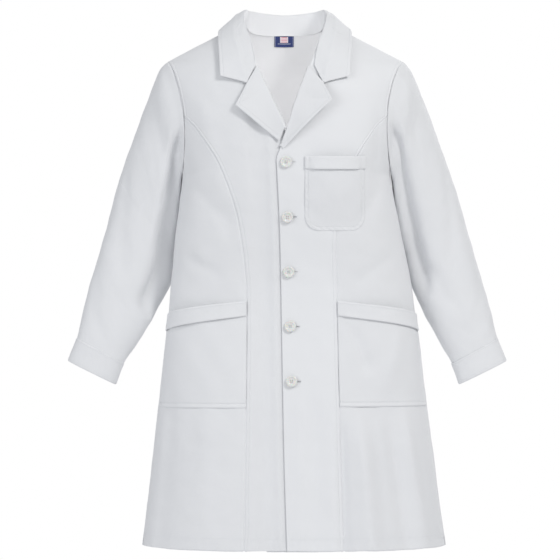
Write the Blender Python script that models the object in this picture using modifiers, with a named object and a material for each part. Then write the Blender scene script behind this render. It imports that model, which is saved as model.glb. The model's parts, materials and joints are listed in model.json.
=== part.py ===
"""A white lab coat: tailored front with princess seams, notched lapels, three patch pockets and long sleeves.

It stands open and upright as on an invisible wearer. The origin is just below the middle of the back
neck seam, where the hook of a hanger comes out. +X is the wearer's left, -Y is the front and +Z is up.
"left" and "right" in the names are the wearer's. Metres.
"""

import math

import bmesh
import bpy
from mathutils import Matrix, Vector

# ---- driving dimensions --------------------------------------------------------------------------
LENGTH = 0.904  # from the origin down to the hem
SHOULDER_HALF = 0.2065
SHOULDER_TIP_Z = -0.043
SHOULDER_SLOPE = 0.52
SHOULDER_ROLL = 0.11  # height over which the cloth rounds over the shoulder
NECK_HALF = 0.072
NECK_BACK_Z = 0.0065
NECK_SIDE_Z = SHOULDER_TIP_Z + SHOULDER_SLOPE * (SHOULDER_HALF - NECK_HALF)
UNDERARM_Z = -0.240
ARMHOLE_DEPTH = 0.060  # from the middle plane to the armhole's front or back edge
SEAM_TOP_Z = -0.141  # where the princess seams leave the armhole
MIDDLE_Y = -0.060  # plane of the side seams, in front of the back neck
HEM_RISE, FRONT_HEM_RISE = 0.008, 0.004  # how far the hem lifts at the side seams and in front
SECTION_POWER = 3.2  # 2 is an ellipse, more is squarer

CLOTH = 0.0012
FACING = 0.0010
LAYER = 0.0024  # from the outside of one layer to the outside of the next
SEAM_GAP = 0.0012
SLEEVE_GAP = 0.0016
LAP_DEPTH = 0.0048  # how far the right front lies under the left one
LAP_X = 0.025  # edge of the right front, under the left one
LAP_START, LAP_RAMP = 0.034, 0.028  # where the right front starts to lie deeper, and over what width
FACING_WIDTH, FACING_INSET = 0.053, 0.002

ROLL_END_Z = -0.216  # where the lapels start to turn out
BUTTON_RADIUS = 0.010
BUTTON_THICKNESS = 0.0034
BUTTON_COUNT = 5
BUTTON_TOP = (0.0018, -0.223)  # x and z of the top button
BUTTON_PITCH = (0.0024, -0.0955)
BUTTON_LIFT = 0.0022
# Button profile from its front middle round the rim to its back, as shares of its radius and its thickness
BUTTON_PROFILE = [
    (0.0, 0.62),
    (0.5, 0.66),
    (0.72, 0.96),
    (0.86, 1.0),
    (0.97, 0.80),
    (1.0, 0.5),
    (0.94, 0.1),
    (0.82, 0.0),
    (0.0, 0.0),
]
BUTTON_STEPS = 18
THREAD_HOLE_RADIUS, THREAD_HOLE_PLACE = 0.0009, 0.0027
BUTTONHOLE = (0.0220, 0.0030)
BUTTONHOLE_START = -0.002  # its inner end, from the middle of the button
CUT_DEPTH = 0.012
THREAD_RADIUS = 0.0010
THREAD_GAP = 0.0020  # from the right front to the thread

CHEST_POCKET = {"left": 0.034, "right": 0.140, "top": -0.2145, "bottom": -0.343, "corner": 0.026}
CHEST_BAND = {"top": -0.2125, "bottom": -0.2350}
HIP_POCKET = {"seam_top": -0.466, "side_top": -0.489, "side": 0.90}
HIP_BOTTOM = {-1: -0.652, 1: -0.647}
HIP_BAND = (-0.012, 0.171)  # top and bottom edge of the band, as shares of the pocket's height
POCKET_EDGE_LIFT = 0.0016
CHEST_BULGE = 0.013
HIP_BULGE = 0.016
BULGE_FADE = 1.4  # how soon the bulge reaches its full height above the pocket's bottom
# Width, height, depth behind the back's outside and drop below the origin
LABEL = (0.0350, 0.0187, 0.0028, -0.0057)
SIZE_TAB = (0.0150, 0.0100, 0.0038, -0.0052)
LABEL_X = -0.0015
LABEL_THICKNESS = 0.0005

ELBOW_BEND = math.radians(100)

# (z, value) pairs, bottom to top
HALF_WIDTH = [
    (-0.904, 0.2680),
    (-0.750, 0.2493),
    (-0.600, 0.2310),
    (-0.442, 0.2127),
    (-0.344, 0.1986),
    (-0.250, 0.1840),
    (-0.190, 0.1780),
    (-0.141, 0.1785),
    (-0.111, 0.1820),
    (-0.083, 0.1890),
    (-0.057, 0.1985),
    (-0.043, 0.2065),
]
FRONT_DEPTH = [
    (-0.904, 0.118),
    (-0.750, 0.108),
    (-0.600, 0.095),
    (-0.442, 0.080),
    (-0.344, 0.092),
    (-0.250, 0.107),
    (-0.170, 0.110),
    (-0.100, 0.103),
    (-0.050, 0.092),
    (0.030, 0.075),
]
BACK_DEPTH = [
    (-0.904, 0.125),
    (-0.750, 0.115),
    (-0.600, 0.098),
    (-0.442, 0.074),
    (-0.344, 0.084),
    (-0.250, 0.098),
    (-0.170, 0.104),
    (-0.100, 0.097),
    (-0.050, 0.084),
    (0.000, 0.0662),
    (0.030, 0.058),
]
MIDDLE_X = [
    (-0.904, 0.0160),
    (-0.620, 0.0135),
    (-0.442, 0.0115),
    (-0.344, 0.0060),
    (-0.141, 0.0010),
    (0.0, 0.0),
]
SEAM_OFFSET = [
    (-0.904, 0.0870),
    (-0.620, 0.0810),
    (-0.450, 0.0790),
    (-0.400, 0.0800),
    (-0.355, 0.0830),
    (-0.321, 0.0880),
    (-0.288, 0.0960),
    (-0.252, 0.1080),
    (-0.218, 0.1220),
    (-0.195, 0.1350),
    (-0.175, 0.1490),
    (-0.157, 0.1625),
    (-0.141, 0.1785),
]
FRONT_EDGE = [(-0.904, 0.0035), (-0.735, -0.0015), (-0.520, -0.0055), (-0.344, -0.0090), (-0.216, -0.0150)]
# Roll lines of the lapels: the wearer's right one is the viewer's left one.
RIGHT_ROLL = [
    (-0.222, 0.0247),
    (-0.169, 0.0009),
    (-0.054, -0.0506),
    (-0.005, -0.0625),
    (NECK_SIDE_Z, -NECK_HALF),
]
LEFT_ROLL = [
    (-0.216, -0.0150),
    (-0.168, 0.0039),
    (-0.108, 0.0228),
    (-0.047, 0.0459),
    (NECK_SIDE_Z, NECK_HALF),
]
# Rows down a sleeve: the outer and inner edge in the front view, then how far its middle lies behind the
# side seams' plane and its half-depth. x is from the line midway between the two sleeves, which
# OUTER_SHIFT and SLEEVE_SHIFT bend sideways.
SLEEVE = [
    (None, None, 0.000, 0.060),
    ((0.2240, -0.062), (0.1885, -0.262), 0.014, 0.061),
    ((0.2430, -0.107), (0.1915, -0.300), 0.029, 0.062),
    ((0.2680, -0.173), (0.1965, -0.345), 0.036, 0.061),
    ((0.2960, -0.253), (0.2015, -0.385), 0.040, 0.057),
    ((0.3220, -0.345), (0.2075, -0.425), 0.038, 0.052),
    ((0.3460, -0.428), (0.2340, -0.481), 0.030, 0.045),
    ((0.3630, -0.495), (0.2580, -0.522), 0.018, 0.037),
    ((0.3715, -0.531), (0.2890, -0.575), 0.008, 0.030),
    ((0.3870, -0.571), (0.3030, -0.6125), 0.002, 0.028),
]
SLEEVE_POWER = 0.8  # 1 is an ellipse, less is squarer
ELBOW_ROW = 5
CUFF_ROW = 8
ELBOW_ENDS = (ELBOW_ROW - 0.001, ELBOW_ROW + 0.001)  # rows of the two sleeve pieces' ends at the elbow
UPPER_SLEEVE_ROWS = [0, 0.3, 0.65, 1, 1.5, 2, 2.6, 3.3, 4, 4.45, ELBOW_ENDS[0]]
LOWER_SLEEVE_ROWS = [ELBOW_ENDS[1], 5.7, 6.3, 7, 7.6, CUFF_ROW]
CUFF_ROWS = [CUFF_ROW, 8.5, 9]
SLEEVE_COLUMNS = 18
SHOULDER_PIVOT_RISE = 0.002  # of the shoulder's pivot over the tip of the shoulder
ELBOW_PIVOT = 0.6  # share of the half-depth by which the elbow's pivot lies in front of the sleeve's middle
SLEEVE_SHIFT = [
    (-0.615, 0.0040),
    (-0.530, 0.0065),
    (-0.440, 0.0115),
    (-0.344, 0.0060),
    (-0.141, 0.0010),
    (0.0, 0.0),
]
OUTER_SHIFT = [(-0.571, 0.0040), (-0.200, 0.0015), (-0.043, 0.0)]
# Half of the collar from its front end to the middle of the back: seam, fold, middle of the leaf, outer edge.
# A pair is (x, z) on the front of the torso with its lift, a triple is a point with y from the middle plane.
COLLAR_SEAM = [
    ((0.0515, -0.057), 0.0010),
    ((0.0590, -0.020), 0.0010),
    ((0.0670, 0.010), 0.0010),
    (0.0720, -0.002, 0.0285),
    (0.0640, 0.0345, 0.0138),
    (0.0380, 0.0485, 0.0079),
    (0.0, 0.0566, 0.0077),
]
COLLAR_FOLD = [
    ((0.0505, -0.054), 0.0040),
    ((0.0585, -0.014), 0.0070),
    ((0.0680, 0.019), 0.0120),
    (0.0700, -0.004, 0.0480),
    (0.0610, 0.0270, 0.0485),
    (0.0370, 0.0440, 0.0455),
    (0.0, 0.0505, 0.0425),
]
COLLAR_MIDDLE = [
    ((0.0665, -0.085), 0.0040),
    ((0.0760, -0.040), 0.0085),
    ((0.0850, -0.002), 0.0135),
    (0.0870, -0.002, 0.0400),
    (0.0780, 0.0440, 0.0330),
    (0.0450, 0.0610, 0.0245),
    (0.0, 0.0675, 0.0205),
]
COLLAR_EDGE = [
    ((0.1100, -0.075), 0.0035),
    ((0.1120, -0.045), 0.0040),
    ((0.1140, -0.010), 0.0060),
    (0.1160, -0.002, 0.0130),
    (0.1000, 0.0540, -0.0010),
    (0.0570, 0.0730, -0.0130),
    (0.0, 0.0790, -0.0160),
]
# Outer edge of each lapel from its lower end to the notch, as (x, z)
RIGHT_LAPEL_EDGE = [(-0.0100, -0.1870), (-0.0430, -0.1600), (-0.0840, -0.1255), (-0.0660, -0.0870)]
LEFT_LAPEL_EDGE = [(-0.0030, -0.2000), (0.0260, -0.1690), (0.0790, -0.1170), (0.0670, -0.0870)]
LAPEL_SPAN = {"right": (-0.1640, -0.0590), "left": (-0.1950, -0.0590)}  # z along the roll line
LAPEL_CORNER = 0.62  # share of the outer edge at which the lapel has its point
LAPEL_LIFT = 0.0017
LAPEL_ROLL_LIFT = 0.0040

# Rows of the torso panels, hem (None) to the top of the princess seams
ROWS = [None, -0.84, -0.76, -0.68, -0.60, -0.52, -0.45, -0.39, -0.34, -0.29, -0.25]
ROWS += [-0.225, -0.20, -0.18, -0.16, SEAM_TOP_Z]
TOP_ROWS = 7
BACK_COLUMNS, NECK_COLUMNS = 6, 2  # of one back panel, and of its neckline
FACING_ROWS = 12  # how many of those rows the facings take
POCKET_ROWS = [0.0, 0.09, 0.17, 0.30, 0.45, 0.60, 0.75, 0.86, 0.93, 0.97, 1.0]
LAPEL_COLUMNS = [0.03, 0.15, 0.35, 0.6, 0.8, 1.0]
LAPEL_ROWS = [0.0, 0.12, 0.25, 0.38, 0.5, 0.62, 0.75, 0.88, 1.0]
LEAF_ROWS = [0.0, 0.2, 0.4, 0.6, 0.8, 1.0]
LEAF_MIDDLE = 0.4  # share of the leaf's width at which its middle guide lies
STAND_ENDS = (0.02, 0.98)  # where the collar stand starts and ends along the collar

WHITE = (0.86, 0.87, 0.89, 1)
BUTTON_WHITE = (0.84, 0.86, 0.83, 1)
NAVY = (0.02, 0.04, 0.16, 1)


# ---- shapes as formulas --------------------------------------------------------------------------
def curve(table, at):
    """A smooth curve through (place, value) pairs, level beyond both ends."""
    if at <= table[0][0]:
        return table[0][1]
    if at >= table[-1][0]:
        return table[-1][1]
    i = next(k for k in range(len(table) - 1) if at <= table[k + 1][0])
    (a, p), (b, q) = table[i], table[i + 1]
    before, after = table[max(i - 1, 0)], table[min(i + 2, len(table) - 1)]
    start = (q - before[1]) / (b - before[0]) * (b - a)
    end = (after[1] - p) / (after[0] - a) * (b - a)
    s = (at - a) / (b - a)
    return (
        (2 * s**3 - 3 * s**2 + 1) * p
        + (s**3 - 2 * s**2 + s) * start
        + (3 * s**2 - 2 * s**3) * q
        + (s**3 - s**2) * end
    )


def mix(a, b, share):
    return a + (b - a) * share


def smooth(x):
    x = min(max(x, 0.0), 1.0)
    return x * x * (3 - 2 * x)


def middle_x(z):
    return curve(MIDDLE_X, z)


def half_width(z):
    return curve(HALF_WIDTH, z)


def shoulder_z(x):
    return SHOULDER_TIP_Z + SHOULDER_SLOPE * (SHOULDER_HALF - abs(x))


def neck_z(x):
    """Height of the back neckline."""
    share = min(abs(x) / NECK_HALF, 1.0)
    return mix(NECK_BACK_Z, NECK_SIDE_Z, 1 - math.sqrt(1 - share**6))


def armhole_depth(z):
    middle, half = (SHOULDER_TIP_Z + UNDERARM_Z) / 2, (SHOULDER_TIP_Z - UNDERARM_Z) / 2
    return ARMHOLE_DEPTH * math.sqrt(max(0.0, 1 - ((z - middle) / half) ** 2))


def torso(x, z, side):
    """The point of the torso's surface at x and z. side is -1 for the front and 1 for the back."""
    share = min(abs(x - middle_x(z)) / half_width(z), 1.0)
    rise = min(max(shoulder_z(x) - z, 0.0) / SHOULDER_ROLL, 1.0)
    rounding = math.sqrt(1 - (1 - rise) ** 2)
    depth = curve(FRONT_DEPTH if side < 0 else BACK_DEPTH, z) * rounding
    edge = armhole_depth(z)
    power = 0.5 + 0.4 * edge / ARMHOLE_DEPTH
    return Vector((x, MIDDLE_Y + side * (edge + (depth - edge) * (1 - share**SECTION_POWER) ** power), z))


def outward(x, z, side):
    step = 0.002
    along = torso(x + step, z, side) - torso(x - step, z, side)
    up = torso(x, z + step, side) - torso(x, z - step, side)
    return along.cross(up).normalized() * -side


def lifted(x, z, side, lift):
    return torso(x, z, side) + outward(x, z, side) * lift


def turn_of(x, z):
    """The place round the torso, 0 in the middle and 1 at the side seam."""
    return math.asin(min(max((x - middle_x(z)) / half_width(z), -1.0), 1.0)) * 2 / math.pi


def x_of(turn, z):
    return middle_x(z) + half_width(z) * math.sin(turn * math.pi / 2)


def hem_z(x, side):
    share = min(abs(x - middle_x(-LENGTH)) / half_width(-LENGTH), 1.0)
    return -LENGTH + mix(FRONT_HEM_RISE if side < 0 else 0.0, HEM_RISE, share**3)


def seam_x(z, hand):
    return middle_x(z) + hand * curve(SEAM_OFFSET, z)


def right_inner_x(z):
    """The inner boundary of the right front: its buttoned edge, then its roll line."""
    return min(LAP_X, curve(RIGHT_ROLL, z)) if z > RIGHT_ROLL[0][0] else LAP_X


def left_inner_x(z):
    return curve(LEFT_ROLL, z) if z > ROLL_END_Z else curve(FRONT_EDGE, z)


def lap_lift(x, z):
    """How deep the right front lies, which is under the left one near the buttons."""
    start = curve(FRONT_EDGE, z) - LAP_START
    return -LAP_DEPTH * smooth((x - start) / LAP_RAMP)


# ---- making objects ------------------------------------------------------------------------------
def clear_scene():
    for item in list(bpy.data.objects):
        bpy.data.objects.remove(item)


def collection(name, hidden=False):
    made = bpy.data.collections.new(name)
    made.hide_render = hidden
    bpy.context.scene.collection.children.link(made)
    return made


def material(name, colour, roughness):
    made = bpy.data.materials.new(name)
    made.use_nodes = True
    shader = made.node_tree.nodes["Principled BSDF"]
    shader.inputs["Base Color"].default_value = colour
    shader.inputs["Roughness"].default_value = roughness
    shader.inputs["Metallic"].default_value = 0.0
    made.diffuse_color = colour
    return made


def add(name, bm, look, group):
    mesh = bpy.data.meshes.new(name)
    bm.to_mesh(mesh)
    bm.free()
    made = bpy.data.objects.new(name, mesh)
    mesh.materials.append(look)
    group.objects.link(made)
    return made


def move_origin(obj, point):
    """Puts the object's origin at a point of its joint's axis and leaves its shape where it is."""
    obj.data.transform(Matrix.Translation(-point))
    obj.location = point


def towards(point, other, distance):
    step = other - point
    return point + step.normalized() * distance if step.length > distance else point.copy()


def cloth(name, place, across, down, thickness, behind, tube=False, trim=SEAM_GAP / 2, look=None):
    """A sheet with its points at place(u, v). It thickens away from `behind`, or towards it if negative."""
    bm = bmesh.new()
    bmesh.ops.create_grid(bm, x_segments=len(across) - 1, y_segments=len(down) - 1, size=0.5)
    points = [[place(u, v) for u in across] for v in down]
    if not tube:
        for row in points:
            row[0], row[-1] = towards(row[0], row[1], trim), towards(row[-1], row[-2], trim)
    for low, high, inner in ((0, 1, 1), (-1, -2, -2)):
        for i, point in enumerate(points[low]):
            points[low][i] = towards(point, points[high][i], trim)
    for vertex in bm.verts:
        i = round((vertex.co.x + 0.5) * (len(across) - 1))
        j = round((vertex.co.y + 0.5) * (len(down) - 1))
        vertex.co = points[j][i]
    if tube:
        bmesh.ops.remove_doubles(bm, verts=bm.verts, dist=0.00001)
    bm.normal_update()
    facing = sum(face.normal.dot(face.calc_center_median() - behind) * face.calc_area() for face in bm.faces)
    if facing < 0:
        bmesh.ops.reverse_faces(bm, faces=bm.faces)
    made = add(name, bm, look or LOOKS["cloth"], PARTS)
    shell = made.modifiers.new("thickness", "SOLIDIFY")
    shell.thickness = abs(thickness)
    shell.offset = 1.0 if thickness > 0 else -1.0
    made.data.shade_smooth()
    return made


def spread(count):
    return [i / count for i in range(count + 1)]


def core(z):
    """A point inside the torso."""
    return Vector((middle_x(z), MIDDLE_Y, z))


def panel(name, side, bounds, columns, thickness=-CLOTH, lift=None, rows=ROWS, top=None):
    """A torso panel between the x of two boundaries. `top` gives its rows above the armhole's seam."""
    levels = [("row", z) for z in rows] + [("top", k / TOP_ROWS) for k in range(1, TOP_ROWS + 1) if top]
    lift = lift or (lambda x, z: 0.0)

    def place(u, level):
        kind, value = level
        if kind == "top":
            x, z = top(u, math.sin(value * math.pi / 2))
        else:
            z = -LENGTH if value is None else value
            first, last = bounds(z)
            x = x_of(mix(turn_of(first, z), turn_of(last, z), u), z)
            z = hem_z(x, side) if value is None else value
        return lifted(x, z, side, lift(x, z))

    return cloth(name, place, spread(columns), levels, thickness, core(-0.4))


def upper_front(inner_x, hand):
    """Rows from the level of the seam's top to the shoulder seam, on a front panel."""

    def top(u, share):
        inner_z, outer_z = mix(SEAM_TOP_Z, NECK_SIDE_Z, share), mix(SEAM_TOP_Z, SHOULDER_TIP_Z, share)
        inner, outer = inner_x(inner_z), middle_x(outer_z) + hand * half_width(outer_z)
        x = mix(inner, outer, u)
        return x, mix(inner_z, outer_z, u)

    return top


def upper_back(hand, neck_columns):
    """Rows from the level of the seam's top to the neckline and the shoulder seam, on a back panel."""

    def top(u, share):
        """x is measured from the middle of the back, so that both panels meet there."""
        if u <= neck_columns:
            end_x = NECK_HALF * u / neck_columns
            end_z = neck_z(end_x)
        else:
            end_x = mix(NECK_HALF, SHOULDER_HALF, (u - neck_columns) / (1 - neck_columns))
            end_z = shoulder_z(end_x)
        low_x = half_width(SEAM_TOP_Z) * math.sin(u * math.pi / 2)
        z = mix(SEAM_TOP_Z, end_z, share)
        x = half_width(z) if u == 1.0 else mix(low_x, end_x, share)
        return middle_x(z) + hand * x, z

    return top


# ---- torso ---------------------------------------------------------------------------------------
def make_torso():
    panel("front_right", -1, lambda z: (seam_x(z, -1), right_inner_x(z)), 5, lift=lap_lift,
          top=lambda u, s: upper_front(right_inner_x, -1)(1 - u, s))
    panel("front_left", -1, lambda z: (left_inner_x(z), seam_x(z, 1)), 5, top=upper_front(left_inner_x, 1))
    side_rows = ROWS[:-1] + [SEAM_TOP_Z - 0.004]
    for hand, name in ((-1, "right"), (1, "left")):
        def side_bounds(z, hand=hand):
            return seam_x(z, hand), middle_x(z) + hand * half_width(z)

        def back_bounds(z, hand=hand):
            return middle_x(z), seam_x(z, hand)

        panel(f"side_front_{name}", -1, side_bounds, 6, rows=side_rows)
        panel(f"side_back_{name}", 1, side_bounds, 6, rows=side_rows)
        panel(f"back_{name}", 1, back_bounds, BACK_COLUMNS, top=upper_back(hand, NECK_COLUMNS / BACK_COLUMNS))


def make_facings():
    """The strips inside the front edges that carry the buttons and the buttonholes."""
    end = ROLL_END_Z - 0.006
    rows = [row for row in ROWS[:FACING_ROWS] if row is None or row < end] + [end]

    def left_bounds(z):
        edge = curve(FRONT_EDGE, z) + FACING_INSET
        return edge, edge + FACING_WIDTH

    def right_bounds(z):
        edge = LAP_X - FACING_INSET
        return edge - FACING_WIDTH - FACING_INSET, edge

    panel("front_facing_left", -1, left_bounds, 3, -FACING, lambda x, z: -LAYER, rows)
    panel("front_facing_right", -1, right_bounds, 3, -FACING, lambda x, z: lap_lift(x, z) - LAYER, rows)


# ---- pockets -------------------------------------------------------------------------------------
def chest_place(u, v, extra=0.0):
    """u from the wearer's right to left, v from the top down."""
    left, right = CHEST_POCKET["left"], CHEST_POCKET["right"]
    top, bottom, corner = CHEST_POCKET["top"], CHEST_POCKET["bottom"], CHEST_POCKET["corner"]
    z = mix(top, bottom, v)
    missing = max(corner - (z - bottom), 0.0)
    inset = corner - math.sqrt(max(corner**2 - missing**2, 0.0))
    x = mix(left + inset, right - inset, u)
    open_share = smooth((1 - v) * BULGE_FADE)
    lift = POCKET_EDGE_LIFT + CHEST_BULGE * math.sin(math.pi * u) * open_share + extra
    return lifted(x, z, -1, lift)


def hip_place(u, v, hand, extra=0.0):
    """u from the princess seam to the side, v from the top down."""
    top = mix(HIP_POCKET["seam_top"], HIP_POCKET["side_top"], u)
    z = mix(top, HIP_BOTTOM[hand], v)
    first = turn_of(seam_x(z, hand), z)
    x = x_of(mix(first, hand * HIP_POCKET["side"], u), z)
    open_share = smooth((1 - v) * BULGE_FADE)
    lift = POCKET_EDGE_LIFT + HIP_BULGE * math.sin(math.pi * u) * open_share + extra
    return lifted(x, z, -1, lift)


def make_pockets():
    inside = core(-0.3)
    cloth("chest_pocket", chest_place, spread(8), POCKET_ROWS, CLOTH, inside)
    height = CHEST_POCKET["top"] - CHEST_POCKET["bottom"]
    band_top = (CHEST_POCKET["top"] - CHEST_BAND["top"]) / height
    band_bottom = (CHEST_POCKET["top"] - CHEST_BAND["bottom"]) / height
    cloth("chest_pocket_band", lambda u, v: chest_place(u, mix(band_top, band_bottom, v), LAYER),
          spread(8), spread(2), CLOTH, inside)
    for hand, name in ((-1, "right"), (1, "left")):
        def place(u, v, hand=hand):
            return hip_place(u, v, hand)

        def band_place(u, v, hand=hand):
            return hip_place(u, mix(*HIP_BAND, v), hand, LAYER)

        cloth(f"hip_pocket_{name}", place, spread(8), POCKET_ROWS, CLOTH, inside)
        cloth(f"hip_pocket_band_{name}", band_place, spread(8), spread(2), CLOTH, inside)


# ---- collar and lapels ---------------------------------------------------------------------------
def collar_point(entry, hand):
    if len(entry) == 2:
        (x, z), lift = entry
        return lifted(hand * x, z, -1, lift)
    x, y, z = entry
    return Vector((hand * x, MIDDLE_Y + y, z))


def guide(entries):
    """A collar line all the way round, from the right front end over the back to the left one."""
    half = [collar_point(entry, -1) for entry in entries]
    return half + [collar_point(entry, 1) for entry in reversed(entries[:-1])]


def along(points, share):
    """The point a share of the way along evenly spaced guide points, on a smooth curve."""
    place = share * (len(points) - 1)
    return Vector([curve([(k, point[axis]) for k, point in enumerate(points)], place) for axis in range(3)])


def make_collar():
    seam, fold, middle, edge = map(guide, (COLLAR_SEAM, COLLAR_FOLD, COLLAR_MIDDLE, COLLAR_EDGE))
    neck = Vector((0.0, MIDDLE_Y, 0.0))

    def stand(u, v):
        low, high = along(seam, u), along(fold, u)
        return towards(mix(low, high, v), mix(low, high, 1 - v), SEAM_GAP)

    def leaf(u, v):
        start, halfway, end = along(fold, u), along(middle, u), along(edge, u)
        if v < LEAF_MIDDLE:
            return mix(start, halfway, v / LEAF_MIDDLE)
        return mix(halfway, end, (v - LEAF_MIDDLE) / (1 - LEAF_MIDDLE))

    cloth("collar_stand", stand, [mix(*STAND_ENDS, share) for share in spread(24)], spread(2), -CLOTH, neck)
    cloth("collar_leaf", leaf, spread(28), LEAF_ROWS, CLOTH, neck, trim=SEAM_GAP)


def lapel_place(hand_name):
    roll, edge = (RIGHT_ROLL, RIGHT_LAPEL_EDGE) if hand_name == "right" else (LEFT_ROLL, LEFT_LAPEL_EDGE)
    low, high = LAPEL_SPAN[hand_name]

    def place(u, v):
        """u from the roll line to the edge, v from the lower end to the notch."""
        z = mix(low, high, v)
        start = Vector((curve(roll, z), 0, z))
        if v < LAPEL_CORNER:
            line = [(0.0, edge[0]), (0.5, edge[1]), (1.0, edge[2])]
            share = v / LAPEL_CORNER
        else:
            line = [(0.0, edge[2]), (1.0, edge[3])]
            share = (v - LAPEL_CORNER) / (1 - LAPEL_CORNER)
        end = Vector([curve([(at, point[axis]) for at, point in line], share) for axis in (0, 1)])
        x, z = mix(start.x, end.x, u), mix(start.z, end.y, u)
        return lifted(x, z, -1, LAPEL_LIFT + LAPEL_ROLL_LIFT * (1 - u) ** 2 * min(4 * u + 0.4, 1))

    return place


def turning_point(place):
    """The middle of the straight line nearest the lapel's roll line, which it turns on."""
    points = [place(0.0, share) for share in spread(20)]
    middle = sum(points, Vector()) / len(points)
    line = (points[-1] - points[0]).normalized()
    return middle + line * ((points[0] + points[-1]) / 2 - middle).dot(line)


def make_lapels():
    for name in ("right", "left"):
        place = lapel_place(name)
        lapel = cloth(f"lapel_{name}", place, LAPEL_COLUMNS, LAPEL_ROWS, CLOTH, core(-0.2))
        move_origin(lapel, turning_point(place))


# ---- sleeves -------------------------------------------------------------------------------------
def sleeve_section(row, hand):
    """Outer and inner edge points of one row of the sleeve, and the half-depth there."""
    outer, inner, y, depth = SLEEVE[row]
    if outer is None:
        outer, inner = (SHOULDER_HALF, SHOULDER_TIP_Z), (half_width(UNDERARM_Z), UNDERARM_Z)
    gap = SLEEVE_GAP if row == 0 else 0.0
    first = Vector((hand * (outer[0] + gap) + curve(OUTER_SHIFT, outer[1]), MIDDLE_Y + y, outer[1]))
    second = Vector((hand * (inner[0] + gap) + curve(SLEEVE_SHIFT, inner[1]), MIDDLE_Y + y, inner[1]))
    return first, second, depth


def sleeve_point(angle, row, hand):
    """A point of the sleeve at an angle round it, 0 at its outer edge and a quarter turn at its front."""
    low = min(int(row), len(SLEEVE) - 2)
    share = row - low
    if low == 0:
        share = share * (2 - share)
    ends = []
    for k in (low, low + 1):
        outer, inner, depth = sleeve_section(k, hand)
        middle, half = (outer + inner) / 2, (outer - inner) / 2
        forward = math.copysign(abs(math.sin(angle)) ** (SLEEVE_POWER if k else 1.0), math.sin(angle))
        point = middle + half * math.cos(angle) - Vector((0, depth * forward, 0))
        if k == 0:
            z = point.z
            point.x = middle_x(z) + hand * (half_width(z) + SLEEVE_GAP)
        ends.append(point)
    return mix(ends[0], ends[1], share)


def elbow_frame(hand):
    """Middle of the elbow's pivot, and the direction down the sleeve there."""
    outer, inner, depth = sleeve_section(ELBOW_ROW, hand)
    below = sleeve_section(ELBOW_ROW + 1, hand)
    middle = (outer + inner) / 2
    down = ((below[0] + below[1]) / 2 - middle).normalized()
    axis = (outer - inner).normalized()
    down = (down - axis * down.dot(axis)).normalized()
    return middle - Vector((0, depth * ELBOW_PIVOT, 0)), down


def make_sleeve(hand, name):
    shoulder_x = SHOULDER_HALF + SLEEVE_GAP / 2
    shoulder = Vector((hand * shoulder_x, MIDDLE_Y, SHOULDER_TIP_Z + SHOULDER_PIVOT_RISE))
    pivot, down_arm = elbow_frame(hand)
    around = [2 * math.pi * share for share in spread(SLEEVE_COLUMNS)]

    def elbow_relief(point):
        """How far an end at the elbow is cut back, so that the front can fold."""
        return SEAM_GAP + max(0.0, pivot.y - point.y) * math.tan(ELBOW_BEND / 2)

    def place(angle, row):
        point = sleeve_point(angle, row, hand)
        if row == ELBOW_ENDS[0]:
            return point - down_arm * elbow_relief(point)
        if row == ELBOW_ENDS[1]:
            return point + down_arm * elbow_relief(point)
        return point

    pieces = {"upper_sleeve": UPPER_SLEEVE_ROWS, "lower_sleeve": LOWER_SLEEVE_ROWS, "cuff": CUFF_ROWS}
    for piece, rows in pieces.items():
        outer, inner, _ = sleeve_section(math.ceil(rows[1]), hand)
        made = cloth(f"{piece}_{name}", place, around, rows, -CLOTH, (outer + inner) / 2, tube=True)
        move_origin(made, shoulder if piece == "upper_sleeve" else pivot)


# ---- buttons -------------------------------------------------------------------------------------
def button_place(k):
    x, z = BUTTON_TOP[0] + k * BUTTON_PITCH[0], BUTTON_TOP[1] + k * BUTTON_PITCH[1]
    return torso(x, z, -1), outward(x, z, -1)


def facing(normal):
    return normal.to_track_quat("Z", "Y").to_euler()


def rod(bm, sides, radius, length):
    bmesh.ops.create_cone(bm, cap_ends=True, segments=sides, radius1=radius, radius2=radius, depth=length)


def cut(obj, cutter):
    cutter.display_type = "WIRE"
    cutter.hide_render = True
    made = obj.modifiers.new(cutter.name, "BOOLEAN")
    made.operation = "DIFFERENCE"
    made.solver = "EXACT"
    made.object = cutter


def make_button(k):
    """A turned disc with a raised rim, a dished middle and four thread holes."""
    point, normal = button_place(k)
    bm = bmesh.new()
    verts = [bm.verts.new((x * BUTTON_RADIUS, 0, z * BUTTON_THICKNESS)) for x, z in BUTTON_PROFILE]
    for a, b in zip(verts, verts[1:]):
        bm.edges.new((a, b))
    button = add(f"button_{k + 1}", bm, LOOKS["button"], PARTS)
    turn = button.modifiers.new("turn", "SCREW")
    turn.steps = turn.render_steps = BUTTON_STEPS
    turn.use_merge_vertices = True
    turn.merge_threshold = 0.00001
    button.location = point + normal * BUTTON_LIFT
    button.rotation_euler = facing(normal)
    for i in range(4):
        angle = math.pi / 4 + i * math.pi / 2
        bm = bmesh.new()
        rod(bm, 8, THREAD_HOLE_RADIUS, 2 * CUT_DEPTH)
        cutter = add(f"cut_thread_hole_{k + 1}_{i + 1}", bm, LOOKS["button"], CUTTERS)
        cutter.parent = button
        cutter.location = (THREAD_HOLE_PLACE * math.cos(angle), THREAD_HOLE_PLACE * math.sin(angle), 0)
        cut(button, cutter)


def make_thread(k):
    """The shank that holds the button to the right front, through the buttonhole."""
    point, normal = button_place(k)
    start = -LAP_DEPTH + THREAD_GAP
    length = BUTTON_LIFT - SEAM_GAP / 2 - start
    bm = bmesh.new()
    rod(bm, 10, THREAD_RADIUS, length)
    thread = add(f"button_thread_{k + 1}", bm, LOOKS["thread"], PARTS)
    thread.location = point + normal * (start + length / 2)
    thread.rotation_euler = facing(normal)


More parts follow.
